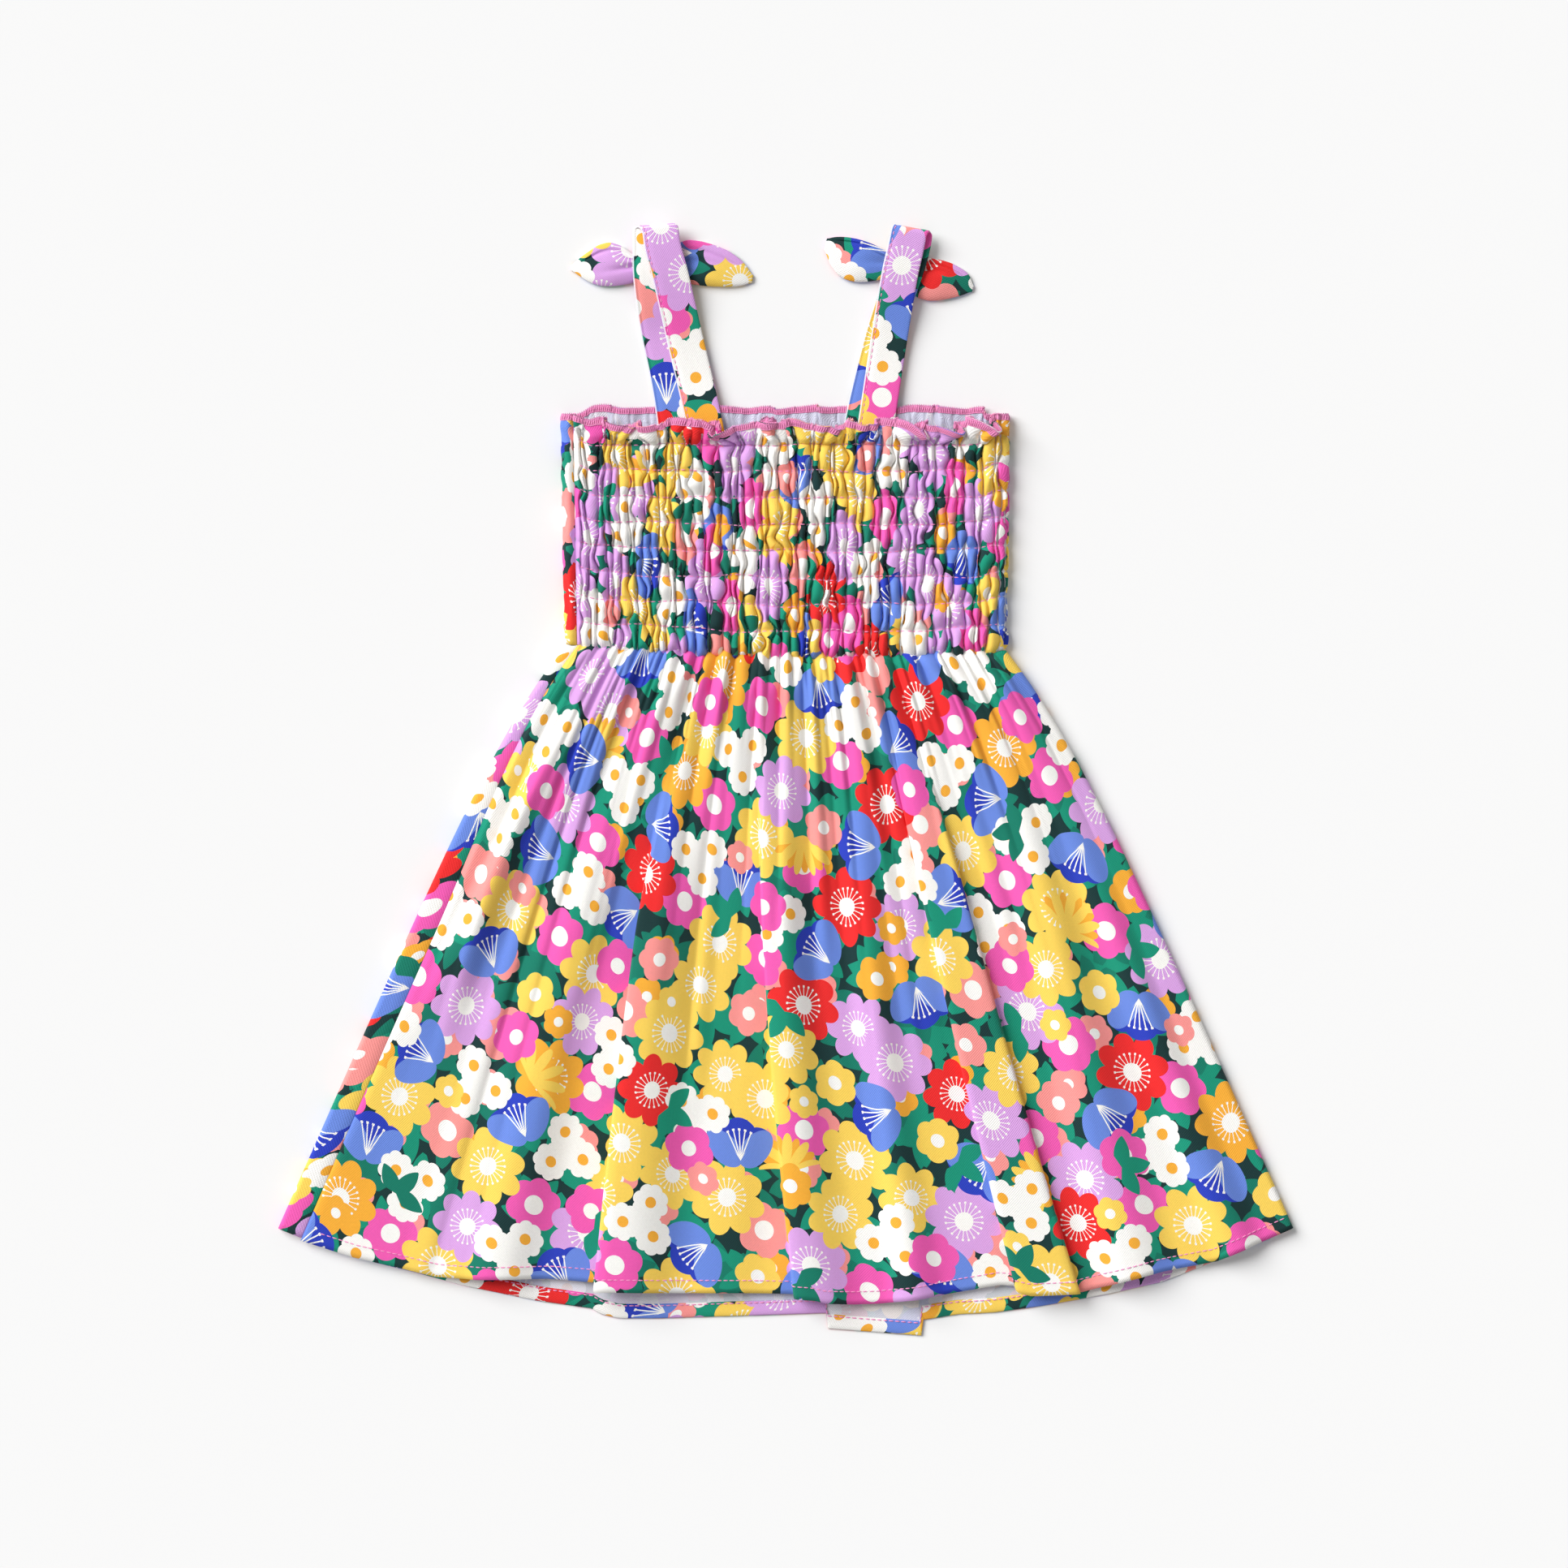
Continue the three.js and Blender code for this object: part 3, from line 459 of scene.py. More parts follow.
def print_group():
    """The floral print, by the place on the cut cloth in tenths of a metre."""
    tree = bpy.data.node_groups.new("floral_print", "ShaderNodeTree")
    tree.interface.new_socket("Cut", in_out="INPUT", socket_type="NodeSocketVector")
    tree.interface.new_socket("Color", in_out="OUTPUT", socket_type="NodeSocketColor")
    g = Graph(tree)
    source = g.node("NodeGroupInput").outputs[0]
    g.place = g.vector("MULTIPLY", source, (CUTS_PER_UV / PRINT_SCALE,) * 2 + (0,))
    cell, turn = 48.5, 31  # in mm and degrees
    leaves = ((0.0, "emerald"), (0.6, "deep_leaf"))
    colour = COLOURS["ground"]
    colour = leaf_layer(g, colour, 30, 58, (0.2, 0.6), 1, 0.25, 6, 17, 3.4, leaves)
    colour = leaf_layer(g, colour, cell / 2, turn, (0.5, 0.5), 2, 0.2, 5, 14, 3.3, leaves)
    bright = ((0.0, "yellow"), (0.31, "lilac"), (0.74, "red"), (0.93, "orange"))
    soft = ((0.0, "lilac"), (0.55, "yellow"), (0.84, "red"))
    small = ((0.0, "salmon"), (0.4, "orange"), (0.7, "yellow"))
    colour = plain_flowers(g, colour, cell / 2, turn, (0.25, 0.25), 4, 0.3, 8.2, 2.3,
                           ((0.0, "salmon"), (0.5, "orange"), (0.75, "salmon")), (0, 0.55))
    colour = plain_flowers(g, colour, cell, turn, (0.5, 0.0), 5, 0.14, 11.8, 4.1,
                           ((0.0, "pink"), (0.8, "salmon")), (0, 0.74))
    colour = big_flowers(g, colour, cell, turn, (0.5, 0.0), 5, 0.14, 14.6, soft, (0.74, 1))
    colour = big_flowers(g, colour, cell, turn, (0.0, 0.0), 6, 0.13, 16.4, bright)
    colour = spiky_flowers(g, colour, 2.6 * cell, 12, (0.3, 0.1), 7)
    colour = cup_flowers(g, colour, cell, turn, (0.0, 0.5), 3, (0, 0.66))
    colour = big_flowers(g, colour, cell, turn, (0.0, 0.5), 3, 0.12, 15.2, soft, (0.66, 1))
    colour = white_clusters(g, colour, cell, turn, (0.5, 0.5), 8, (0, 0.76))
    colour = plain_flowers(g, colour, cell, turn, (0.5, 0.5), 8, 0.12, 9.6, 2.9, small, (0.76, 1))
    colour = plain_flowers(g, colour, 1.7 * cell, 66, (0.4, 0.1), 9, 0.4, 11.0, 3.3,
                           ((0.0, "pink"), (0.6, "pink")), (0, 0.5))
    colour = plain_flowers(g, colour, 1.23 * cell, -14, (0.1, 0.7), 10, 0.5, 7.0, 2.1,
                           small, (0, 0.5))
    colour = leaf_layer(g, colour, 1.5 * cell, -37, (0.6, 0.2), 11, 0.5, 5, 13, 3.2, leaves, 0.55)
    g.plug(g.node("NodeGroupOutput").inputs[0], colour)
    return tree


def new_material(name):
    material = bpy.data.materials.new(name)
    material.use_nodes = True
    material.node_tree.nodes.clear()
    g = Graph(material.node_tree)
    shader = g.node("ShaderNodeBsdfPrincipled")
    output = g.node("ShaderNodeOutputMaterial")
    g.plug(output.inputs["Surface"], shader.outputs[0])
    return material, g, shader


def weave(g, shader, strength, pitch=1.15):
    """A fine crepe weave: crossing ribs, broken up by noise, as bump and as a faint tone."""
    cut = g.node("ShaderNodeUVMap", uv_map="cut").outputs[0]
    scaled = g.vector("MULTIPLY", cut, (TAU * CUTS_PER_UV / pitch,) * 3)
    split = g.node("ShaderNodeSeparateXYZ")
    g.plug(split.inputs[0], scaled)
    ribs = g.math("SINE", split.outputs["X"])
    rows = g.math("SINE", split.outputs["Y"])
    noise = g.node("ShaderNodeTexNoise")
    g.plug(noise.inputs["Vector"], cut)
    noise.inputs["Scale"].default_value = 90
    noise.inputs["Detail"].default_value = 3
    mesh = g.both(ribs, rows)
    grain = g.math("MULTIPLY_ADD", noise.outputs["Fac"], 1.6, mesh)
    bump = g.node("ShaderNodeBump")
    bump.inputs["Strength"].default_value = strength
    bump.inputs["Distance"].default_value = 0.0002
    g.plug(bump.inputs["Height"], grain)
    g.plug(shader.inputs["Normal"], bump.outputs[0])
    return cut, g.math("MULTIPLY_ADD", mesh, 0.22, noise.outputs["Fac"])


def finish_cloth(g, shader, colour, tone):
    """Faint unevenness of the dye, a matt finish and a little fuzz."""
    shade = g.math("MULTIPLY_ADD", tone, 0.13, 0.935)
    scaled = g.node("ShaderNodeVectorMath", operation="SCALE")
    g.plug(scaled.inputs[0], colour)
    g.plug(scaled.inputs["Scale"], shade)
    g.plug(shader.inputs["Base Color"], scaled.outputs[0])
    shader.inputs["Roughness"].default_value = 0.78
    shader.inputs["Specular IOR Level"].default_value = 0.25
    shader.inputs["Sheen Weight"].default_value = 0.08
    shader.inputs["Sheen Roughness"].default_value = 0.5


def cloth_material(name, group, weave_strength, print_share):
    """A side of the cloth; print_share is how strongly the print shows on it."""
    material, g, shader = new_material(name)
    cut, tone = weave(g, shader, weave_strength)
    print_node = g.node("ShaderNodeGroup", node_tree=group)
    g.plug(print_node.inputs[0], cut)
    colour = g.over(COLOURS["wrong_side"], print_node.outputs[0], print_share)
    finish_cloth(g, shader, colour, tone)
    return material


def thread_material(name, colour_name, strength):
    material, g, shader = new_material(name)
    _, tone = weave(g, shader, strength, 0.7)
    finish_cloth(g, shader, COLOURS[colour_name], tone)
    return material


PRINT_GROUP = print_group()
PRINTED = cloth_material("printed_cotton", PRINT_GROUP, 0.5, 1.0)
WRONG_SIDE = cloth_material("wrong_side", PRINT_GROUP, 0.6, 0.17)
THREAD = thread_material("pink_thread", "thread", 0.4)
OVERLOCKED = thread_material("overlocked_edge", "thread_base", 0.8)
CLOTH_MATERIALS = (PRINTED, WRONG_SIDE, OVERLOCKED)
PRINT_FACE, WRONG_FACE, THREAD_FACE = 0, 1, 2


# Meshes

class Build:
    """Gathers the points, faces and cut coordinates of one piece."""

    def __init__(self):
        self.points, self.cuts, self.faces, self.materials = [], [], [], []
        self.count = 0

    def add_points(self, points, cuts):
        start = self.count
        self.points.append(np.asarray(points, float).reshape(-1, 3))
        self.cuts.append(np.asarray(cuts, float).reshape(-1, 2))
        self.count += len(self.points[-1])
        return start

    def add_faces(self, faces, material):
        self.faces.extend(faces)
        one_for_all = np.isscalar(material)
        self.materials.extend([material] * len(faces) if one_for_all else material)

    def add_grid(self, net, cuts, faces_out=True, material=PRINT_FACE):
        """A net's points and quads; returns the numbers of its points, row by row."""
        rows, columns = net.shape[:2]
        start = self.add_points(net, cuts)
        numbers = start + np.arange(rows * columns).reshape(rows, columns)
        a, b = numbers[:-1, :-1], numbers[1:, :-1]
        c, d = numbers[1:, 1:], numbers[:-1, 1:]
        order = (a, b, c, d) if faces_out else (a, d, c, b)
        faces = np.stack(order, axis=-1).reshape(-1, 4).tolist()
        if not np.isscalar(material):
            material = np.broadcast_to(material, (rows - 1, columns - 1)).ravel().tolist()
        self.add_faces(faces, material)
        return numbers

    def zip_rims(self, a, b, material):
        """Triangles between two lines of points that may have different numbers of them."""
        faces, i, j = [], 0, 0
        while i + 1 < len(a) or j + 1 < len(b):
            step_a, step_b = (i + 1) / (len(a) - 1), (j + 1) / (len(b) - 1)
            if j + 1 >= len(b) or (i + 1 < len(a) and step_a <= step_b):
                faces.append((int(a[i]), int(a[i + 1]), int(b[j])))
                i += 1
            else:
                faces.append((int(a[i]), int(b[j + 1]), int(b[j])))
                j += 1
        self.add_faces(faces, material)

    def close(self, outer, inner, material):
        """Joins the rims of an outer and an inner net of points."""
        self.zip_rims(outer[0], inner[0], material)
        self.zip_rims(outer[-1][::-1], inner[-1][::-1], material)
        self.zip_rims(outer[::-1, 0], inner[::-1, 0], material)
        self.zip_rims(outer[:, -1], inner[:, -1], material)

    def add_tube(self, points, radii, sides, material=PRINT_FACE):
        """A closed tube along points."""
        points = np.asarray(points, float)
        way = np.gradient(points, axis=0)
        way /= np.maximum(np.linalg.norm(way, axis=1, keepdims=True), 1e-9)
        side = np.cross(way, (0.0, 0.0, 1.0))
        short = np.linalg.norm(side, axis=1) < 0.05
        side[short] = np.cross(way[short], (0.0, 1.0, 0.0))
        side /= np.linalg.norm(side, axis=1, keepdims=True)
        up = np.cross(side, way)
        turn = TAU * np.arange(sides) / sides
        radii = np.broadcast_to(radii, len(points))[:, None, None]
        ring = side[:, None] * np.cos(turn)[None, :, None] + up[:, None] * np.sin(turn)[None, :, None]
        net = points[:, None] + radii * ring
        length = arc_along(points[None])[0]
        cuts = np.stack(np.broadcast_arrays(turn[None, :] * 0.2, length[:, None]), axis=-1)
        start = self.add_points(net, cuts)
        faces = []
        for i in range(len(points) - 1):
            for j in range(sides):
                k = (j + 1) % sides
                a, b = start + i * sides, start + (i + 1) * sides
                faces.append((a + j, b + j, b + k, a + k))
        faces.append(tuple(start + j for j in range(sides)))
        last = start + (len(points) - 1) * sides
        faces.append(tuple(last + j for j in reversed(range(sides))))
        self.add_faces(faces, material)

    def piece(self, name, materials, nodes=()):
        mesh = bpy.data.meshes.new(name)
        mesh.from_pydata((np.concatenate(self.points) * MM).tolist(), [], self.faces)
        mesh.update()
        for material in materials:
            mesh.materials.append(material)
        mesh.polygons.foreach_set("material_index", self.materials)
        mesh.polygons.foreach_set("use_smooth", [True] * len(mesh.polygons))
        corners = np.empty(len(mesh.loops), int)
        mesh.loops.foreach_get("vertex_index", corners)
        layer = mesh.uv_layers.new(name="cut")
        cuts = np.concatenate(self.cuts)[corners] / CUTS_PER_UV
        layer.data.foreach_set("uv", cuts.ravel())
        piece = bpy.data.objects.new(name, mesh)
        bpy.context.scene.collection.objects.link(piece)
        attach(piece, "root")
        if nodes:
            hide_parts(*nodes)
        return piece


def cloth_shell(build, outer, cuts, thickness, outer_material=PRINT_FACE, inner_material=WRONG_FACE,
                inner=None, stride=2):
    """A thin closed shell: the outer net, an inner one and the rim between them."""
    if inner is None:
        inner = outer - normals_of(outer) * thickness
    keep_rows = sorted({*range(0, len(outer), stride), len(outer) - 1})
    keep_columns = sorted({*range(0, outer.shape[1], stride), outer.shape[1] - 1})
    chosen = np.ix_(keep_rows, keep_columns)
    if not np.isscalar(inner_material):
        inner_material = np.asarray(inner_material)[keep_rows[:-1]]
    outer_numbers = build.add_grid(outer, cuts, True, outer_material)
    inner_numbers = build.add_grid(inner[chosen], cuts[chosen], False, inner_material)
    build.close(outer_numbers, inner_numbers, PRINT_FACE)


def above_floor(net, least=0.0):
    """The same net, pressed flat where it would pass through the floor."""
    pressed = net.copy()
    pressed[..., 2] = np.maximum(pressed[..., 2], least)
    return pressed


def with_tuck(outer):
    """A back panel's net with its last column carried on a little way under the front panel."""
    return np.concatenate([outer, outer[:, -1:] + np.array([1.5, 0, -0.8])], axis=1)


# Shared forms of the dress

def on_tube(along, half, turn):
    """A point of the flattened tube of cloth, by its distance round it from the middle of its
    top; half is the half width and turn the radius of the folded side edges."""
    side = np.sign(along)
    past = np.abs(along) - (half - turn)
    angle = np.clip(past / turn, 0, math.pi)
    under = np.maximum(past - math.pi * turn, 0)
    x = side * (np.minimum(np.abs(along), half - turn) + turn * np.sin(angle) - under)
    return x, turn * (1 + np.cos(angle))


def top_span(half, turn, seam_in):
    return -(half - seam_in) + SEAM_GAP / 2, half - turn


def front_way(top, turn, seam_in, turn_steps):
    """Distances round the tube: over the top, round the right edge and back under to the seam."""
    end = top[-1]
    around = end + np.arange(1, turn_steps + 1) / turn_steps * math.pi * turn
    last = end + math.pi * turn + seam_in - turn - SEAM_GAP / 2
    return np.concatenate([top, around, [mix(around[-1], last, 0.5), last]])


def under_span(half, turn, seam_in):
    return half - seam_in - SEAM_GAP / 2, -(half - turn)


def back_way(under, half, turn, seam_in, turn_steps):
    """The same for a back panel, from its seam underneath, round the left edge and up."""
    edge = -(half - turn) - math.pi * turn
    below = edge - (under + half - turn)
    around = edge + np.arange(1, turn_steps + 1) / turn_steps * math.pi * turn
    last = -(half - seam_in) - SEAM_GAP / 2
    return np.concatenate([below, around, [mix(around[-1], last, 0.5), last]])


def waist_y(share):
    return WAIST_Y + WAIST_SIDE_RISE * share**2 + WAIST_TILT * share


def seam_wobble(x):
    """How far the gathers pull the waist seam out of line."""
    return 0.55 * np.sin(0.37 * x + 1.0) + 0.4 * np.sin(0.83 * x)


def skirt_half(down):
    drop = down * SKIRT_SIDE_DROP
    return WAIST_HALF + SKIRT_PUFF * (1 - math.exp(-drop / PUFF_LENGTH)) + SKIRT_FLARE * drop


HEM_HALF = skirt_half(1)


# Skirt

def fold_shift(fold, share, down, half):
    """How far a fold lifts the cloth and pushes it sideways."""
    scale = half / HEM_HALF
    fading = 1 - smooth(fold["to"] - 0.25, fold["to"], down)
    grown = smooth(fold["start"], fold["full"], down) * fading
    place = (share - mix(fold["waist"], fold["hem"], down)) * half / scale
    past = np.where(place < 0, -place / fold["left"], (place - fold["top"]) / fold["right"])
    past = np.clip(past, 0, 1)
    rounded = np.cos(math.pi / 2 * past) ** 2
    hangs = np.where(place < 0, fold["lean_left"] > 0, fold["lean_right"] > 0)
    top = max(fold["top"], 1e-6)
    lean = mix(-fold["lean_left"], fold["lean_right"], np.clip(place / top, 0, 1))
    lift = np.where(hangs, 1 - past, rounded)
    return grown * rounded * lean * scale, grown * fold["height"] * lift


def columns_over_folds(down, half, span):
    """Columns over the front's top, anchored to the flanks of the leaning folds."""
    scale = half / HEM_HALF
    places = [np.array([span[0]])]

    def run_to(x, count):
        before = places[-1][-1]
        places.append(before + (x - before) * np.arange(1, count + 1) / count)

    for fold in FOLDS:
        if fold["lean_left"] == 0:
            continue
        centre = mix(fold["waist"], fold["hem"], down) * half
        run_to(centre - fold["left"] * scale, fold["columns"])
        run_to(centre, FLANK_COLUMNS)
        if fold["lean_right"] > 0:
            run_to(centre + fold["top"] * scale, 10)
            run_to(centre + (fold["top"] + fold["right"]) * scale, FLANK_COLUMNS)
    run_to(span[1], LAST_COLUMNS)
    return np.concatenate(places)


def gather_table(count, seed, heights=(1.9, 4.0), lengths=(14, 38)):
    """Gathers across a panel: where each starts, as a share, how high it stands, how far down it
    runs and to which side it leans."""
    draw = np.random.default_rng(seed)
    width = draw.uniform(0.55, 1.6, count)
    edges = np.concatenate([[0], np.cumsum(width)]) / width.sum() * 2 - 1
    height = draw.uniform(*heights, count) * width**0.4
    length = draw.uniform(*lengths, count)
    length[draw.random(count) < 0.26] *= 1.9
    lean = draw.choice([0.62, 0.85, 1.25, 1.7], count)
    return edges, height, length, lean


def gather_relief(table, share, drop, start=(0.72, 5)):
    """How high the gathers stand at some drop under the waist. start is the share of their
    height that they have at the seam and the drop at which they reach all of it."""
    edges, height, length, lean = table
    place = np.interp(share, edges, np.arange(len(edges)))
    number = np.clip(place.astype(int), 0, len(height) - 1)
    inside = place - number
    ridge = np.sin(math.pi * np.clip(inside, 0, 1) ** lean[number]) ** 0.75
    growth = mix(start[0], 1, smooth(0, start[1], drop))
    fade = np.exp(-(max(drop, 0.0) / length[number]) ** 1.25)
    return height[number] * ridge * growth * fade


SKIRT_DOWNS = np.linspace(0, 1, 136) ** 1.12
SKIRT_TURNS = 8


def skirt_net(side, downs, columns_under=190):
    """The middle surface of a panel of the skirt, its share across and its seam distance."""
    net, ways = [], []
    for down in downs:
        half = skirt_half(down)
        turn = mix(BODICE_TURN, HEM_TURN, down)
        seam_in = mix(BODICE_SEAM_IN, SKIRT_SEAM_IN, float(smooth(0, 0.5, down)))
        scale = half / HEM_HALF
        if side == "front":
            top = columns_over_folds(down, half, top_span(half, turn, seam_in))
            along = front_way(top, turn, seam_in, SKIRT_TURNS)
        else:
            start, end = under_span(half, turn, seam_in)
            left, right, corner = BACK_PLEAT["left"], BACK_PLEAT["right"], BACK_PLEAT["corner"]
            corners = np.array([left - corner, left, right, right + corner]) * scale
            even = mix(start, end, np.linspace(0, 1, columns_under))
            under = np.sort(np.concatenate([even, corners]))[::-1]
            along = back_way(under, half, turn, seam_in, SKIRT_TURNS)
        x, z = on_tube(along, half, turn)
        share = x / half
        if side == "front":
            on_top = np.arange(len(along)) < len(top)
            from_seam = np.where(on_top, smooth(0, 14, along - along[0]), 0)
            for fold in FOLDS:
                aside, lift = fold_shift(fold, share, down, half)
                x = x + from_seam * aside
                z = z + from_seam * lift
            hem = at_points(FRONT_HEM, share * HEM_HALF)
        else:
            hem = at_points(BACK_HEM, share * HEM_HALF)
            low = (z < 0.01) & (x > (left - 0.1) * scale) & (x < (right + 0.1) * scale)
            hem = hem - np.where(low, BACK_PLEAT["drop"] * smooth(0.8, 1, down), 0)
        y = mix(waist_y(share) - SEAM_GAP / 2, hem, down)
        y = y + seam_wobble(share * WAIST_HALF) * math.exp(-down * SKIRT_SIDE_DROP / 9)
        net.append(np.stack([x, y, z + WALL / 2], axis=1))
        ways.append(along - along[0])
    return np.array(net), np.array(ways)


def cut_places(net, ways, origin, shift):
    """Cut coordinates: across by the cloth's own length, mixed with its place at the hem."""
    across = arc_along(net)
    across = across - across[:, origin:origin + 1]
    across = mix(across, across[-1:], 0.3)
    step = np.linalg.norm(np.diff(net, axis=0), axis=2)
    down = np.concatenate([np.zeros((1, net.shape[1])), np.cumsum(step, axis=0)])
    down = down.mean(axis=1, keepdims=True) * np.ones((1, net.shape[1]))
    down = mix(down, np.abs(net[:, :, 1] - net[:1, :, 1]), 0.7)
    return np.stack([across + shift[0], -down + shift[1]], axis=-1)


def build_skirt_front():
    net, ways = skirt_net("front", SKIRT_DOWNS)
    top_columns = net.shape[1] - SKIRT_TURNS - 2
    table = gather_table(36, 5)
    wide_table = gather_table(21, 23, (2.6, 5.2), (50, 105))
    relief = np.zeros(net.shape[:2])
    over_seam = np.zeros(net.shape[:2])
    for i, down in enumerate(SKIRT_DOWNS):
        drop = down * SKIRT_SIDE_DROP
        share = (net[i, :, 0]) / skirt_half(down)
        relief[i] = gather_relief(table, share, drop)
        over_seam[i] = np.minimum(relief[i], 3.2) * 0.55 * math.exp(-((drop / 5) ** 2))
        relief[i] += gather_relief(wide_table, share, drop, (0.1, 16))
        relief[i] -= 1.2 * math.exp(-((drop / 1.6) ** 2))
    near_turn = smooth(top_columns - 12, top_columns - 1, np.arange(net.shape[1]))
    from_edges = smooth(0, 3, ways) * (1 - near_turn)
    relief *= from_edges
    seam_dip = 0.3 * np.exp(-((ways / 1.3) ** 2))
    outer = net + normals_of(net) * (WALL / 2 - seam_dip)[:, :, None]
    outer[:, :, 2] += relief
    outer[:, :, 1] += over_seam * from_edges
    middle = top_columns // 2
    cuts = cut_places(net, ways, middle, (0, 0))
    inner = net + normals_of(net) * (WALL / 2 - CLOTH)
    inner[:, :, 2] += np.minimum(relief, 0)
    tuck = np.array([0, 1.6, -1.9]) * from_edges[:1, :, None]
    outer = np.concatenate([outer[:1] + tuck, outer])
    inner = np.concatenate([inner[:1] + tuck * np.array([1, 1, 0.6]), inner])
    cuts = np.concatenate([cuts[:1] + np.array([0, 2.5]), cuts])
    build = Build()
    cloth_shell(build, outer, cuts, CLOTH, inner=inner)
    return build.piece("skirt_front_panel", CLOTH_MATERIALS, ["skirt_front"]), outer


def build_skirt_back():
    downs = np.linspace(0, 1, 90)
    net, ways = skirt_net("back", downs)
    under = net.shape[1] - SKIRT_TURNS - 2
    table = gather_table(34, 8)
    share = net[:, :, 0] / np.array([skirt_half(down) for down in downs])[:, None]
    fade = 1 - smooth(under - 8, under, np.arange(net.shape[1]))
    trough = np.zeros(net.shape[:2])
    for i, down in enumerate(downs):
        trough[i] = 0.5 * gather_relief(table, share[i], down * SKIRT_SIDE_DROP)
        for fold in FOLDS:
            mirrored = {**fold, "waist": -fold["waist"], "hem": -fold["hem"],
                        "lean_left": 0, "lean_right": 0}
            trough[i] += 0.12 * fold_shift(mirrored, share[i], down, skirt_half(down))[1]
    trough *= fade * (1 - smooth(0.93, 1.0, downs))[:, None]
    outer = with_tuck(net + normals_of(net) * (WALL / 2 - trough)[:, :, None])
    cuts = cut_places(with_tuck(net), ways, under // 2, (828, 243))
    build = Build()
    cloth_shell(build, outer, cuts, CLOTH, stride=1)
    piece = build.piece("skirt_back_panel", CLOTH_MATERIALS, ["skirt_back"])
    return piece, outer - normals_of(outer) * CLOTH


# Bodice

def pucker_field(seed):
    """Valleys between puckers, at every half band from the frill's edge to the waist."""
    draw = np.random.default_rng(seed)
    count, levels = 53, 2 * BANDS + 3
    width = draw.uniform(0.62, 1.45, count)
    base = np.concatenate([[0], np.cumsum(width)]) / width.sum() * 2 - 1
    valleys = np.repeat(base[None], levels, axis=0)
    own = draw.normal(0, 0.0074, valleys.shape)
    lean = np.cumsum(draw.normal(0, 0.0036, valleys.shape), axis=0)
    valleys[:, 1:-1] += (own + lean - lean.mean(axis=0))[:, 1:-1]
    valleys = np.sort(valleys, axis=1)
    strength = np.clip(draw.normal(1.05, 0.34, valleys.shape), 0.12, 1.2)
    strength[::2] = np.maximum(strength[::2], 0.85)
    height = draw.uniform(0.62, 1.15, (levels, count))
    passed = np.cumsum(draw.uniform(2.4, 6.2, count + 1))
    passed = passed + draw.normal(0, 2.2, (levels, count + 1))
    return valleys, strength, height, passed


def pucker_row(field, level, share):
    """At one height, each point's relief from 0 to 1 and the cloth hidden in the valleys that
    were passed on the way to it."""
    valleys, strength, height, passed = field
    low = int(np.clip(math.floor(level), 0, len(valleys) - 2))
    part = float(smooth(0, 1, level - low))
    edges = np.sort(mix(valleys[low], valleys[low + 1], part))
    place = np.interp(share, edges, np.arange(len(edges)))
    number = np.clip(place.astype(int), 0, len(edges) - 2)
    inside = np.clip(place - number, 0, 1)
    depth = mix(strength[low], strength[low + 1], part)
    rise = mix(height[low], height[low + 1], part)[number]
    notch = mix(depth[number], depth[number + 1], inside)
    ridge = np.sin(math.pi * inside) ** 0.52
    relief = rise * (1 - np.minimum(notch, 1) * (1 - ridge))
    near = np.minimum(inside, 1 - inside) * (edges[number + 1] - edges[number]) * CHEST_HALF
    valley = np.exp(-((near / 0.5) ** 2)) * np.minimum(notch, 1)
    swallowed = mix(passed[low], passed[low + 1], part)
    before, after = swallowed[number], swallowed[number + 1]
    edge_step = 0.5 * smooth(0.0, 0.13, inside) + 0.5 * smooth(0.87, 1.0, inside)
    return relief, mix(before, after, edge_step), valley


def first_row_y(side, share):
    towards_middle = 1 - smooth(0.86, 0.945, np.abs(share))
    return FIRST_ROW_Y + (-FRONT_DIP if side == "front" else BACK_RISE) * towards_middle


# Pleats of the front's frill that have fallen over: their place and how far their tops lean
FLOPS = (
    (-74.0, 4.6), (-45.0, 3.8), (-19.0, -8.6), (-1.0, -5.0), (14.0, 5.2),
    (57.0, 10.0), (66.0, 8.6), (80.0, 4.0), (88.5, 8.4),
)


def frill_pleats(seed, half, count, reach, flops=()):
    """The frill's uneven pleats: where each starts, and how far its top leans over to the side.
    flops are places where a pleat has fallen right over, and how far."""
    draw = np.random.default_rng(seed)
    width = draw.uniform(0.6, 1.5, count)
    edges = (np.concatenate([[0], np.cumsum(width)]) / width.sum() * 2 - 1) * half
    lean = draw.uniform(*reach, count) * draw.choice([-1, 1], count)
    for at, far in flops:
        lean[int(np.interp(at, edges, np.arange(count + 1)))] = far
    return edges, lean


def frill_shape(side, x, risen, edges, lean, from_edge):
    """Shift of the frill's points at a height above the first row: aside, up and forward."""
    place = np.interp(x, edges, np.arange(len(edges)))
    number = np.clip(place.astype(int), 0, len(lean) - 1)
    own = lean[number]
    inside = place - number
    inside = np.where(own < 0, 1 - inside, inside)
    profile = np.where(inside < 0.74, smooth(0.04, 0.74, inside), 1 - smooth(0.74, 0.95, inside))
    far = np.abs(own) * profile * from_edge * risen**1.25
    rise = risen * FRILL
    up = np.sqrt(np.maximum(rise**2 - far**2, 0)) - rise
    wave = 0.5 + 0.5 * np.sin(math.pi * place + 0.6)
    base, swing, edge_wave = (1.2, 2.8, 2.0) if side == "front" else (0.5, 1.3, 1.0)
    ripple = 0.6 * np.sin(1.3 * place + 0.4) + 0.5 * np.cos(math.pi * place + 0.9)
    ripple = ripple + 0.35 * np.sin(5.1 * place)
    up = up + edge_wave * from_edge * risen**1.4 * ripple
    forward = from_edge * risen * (base + swing * wave) + 0.42 * far
    return np.sign(own) * far, up, forward


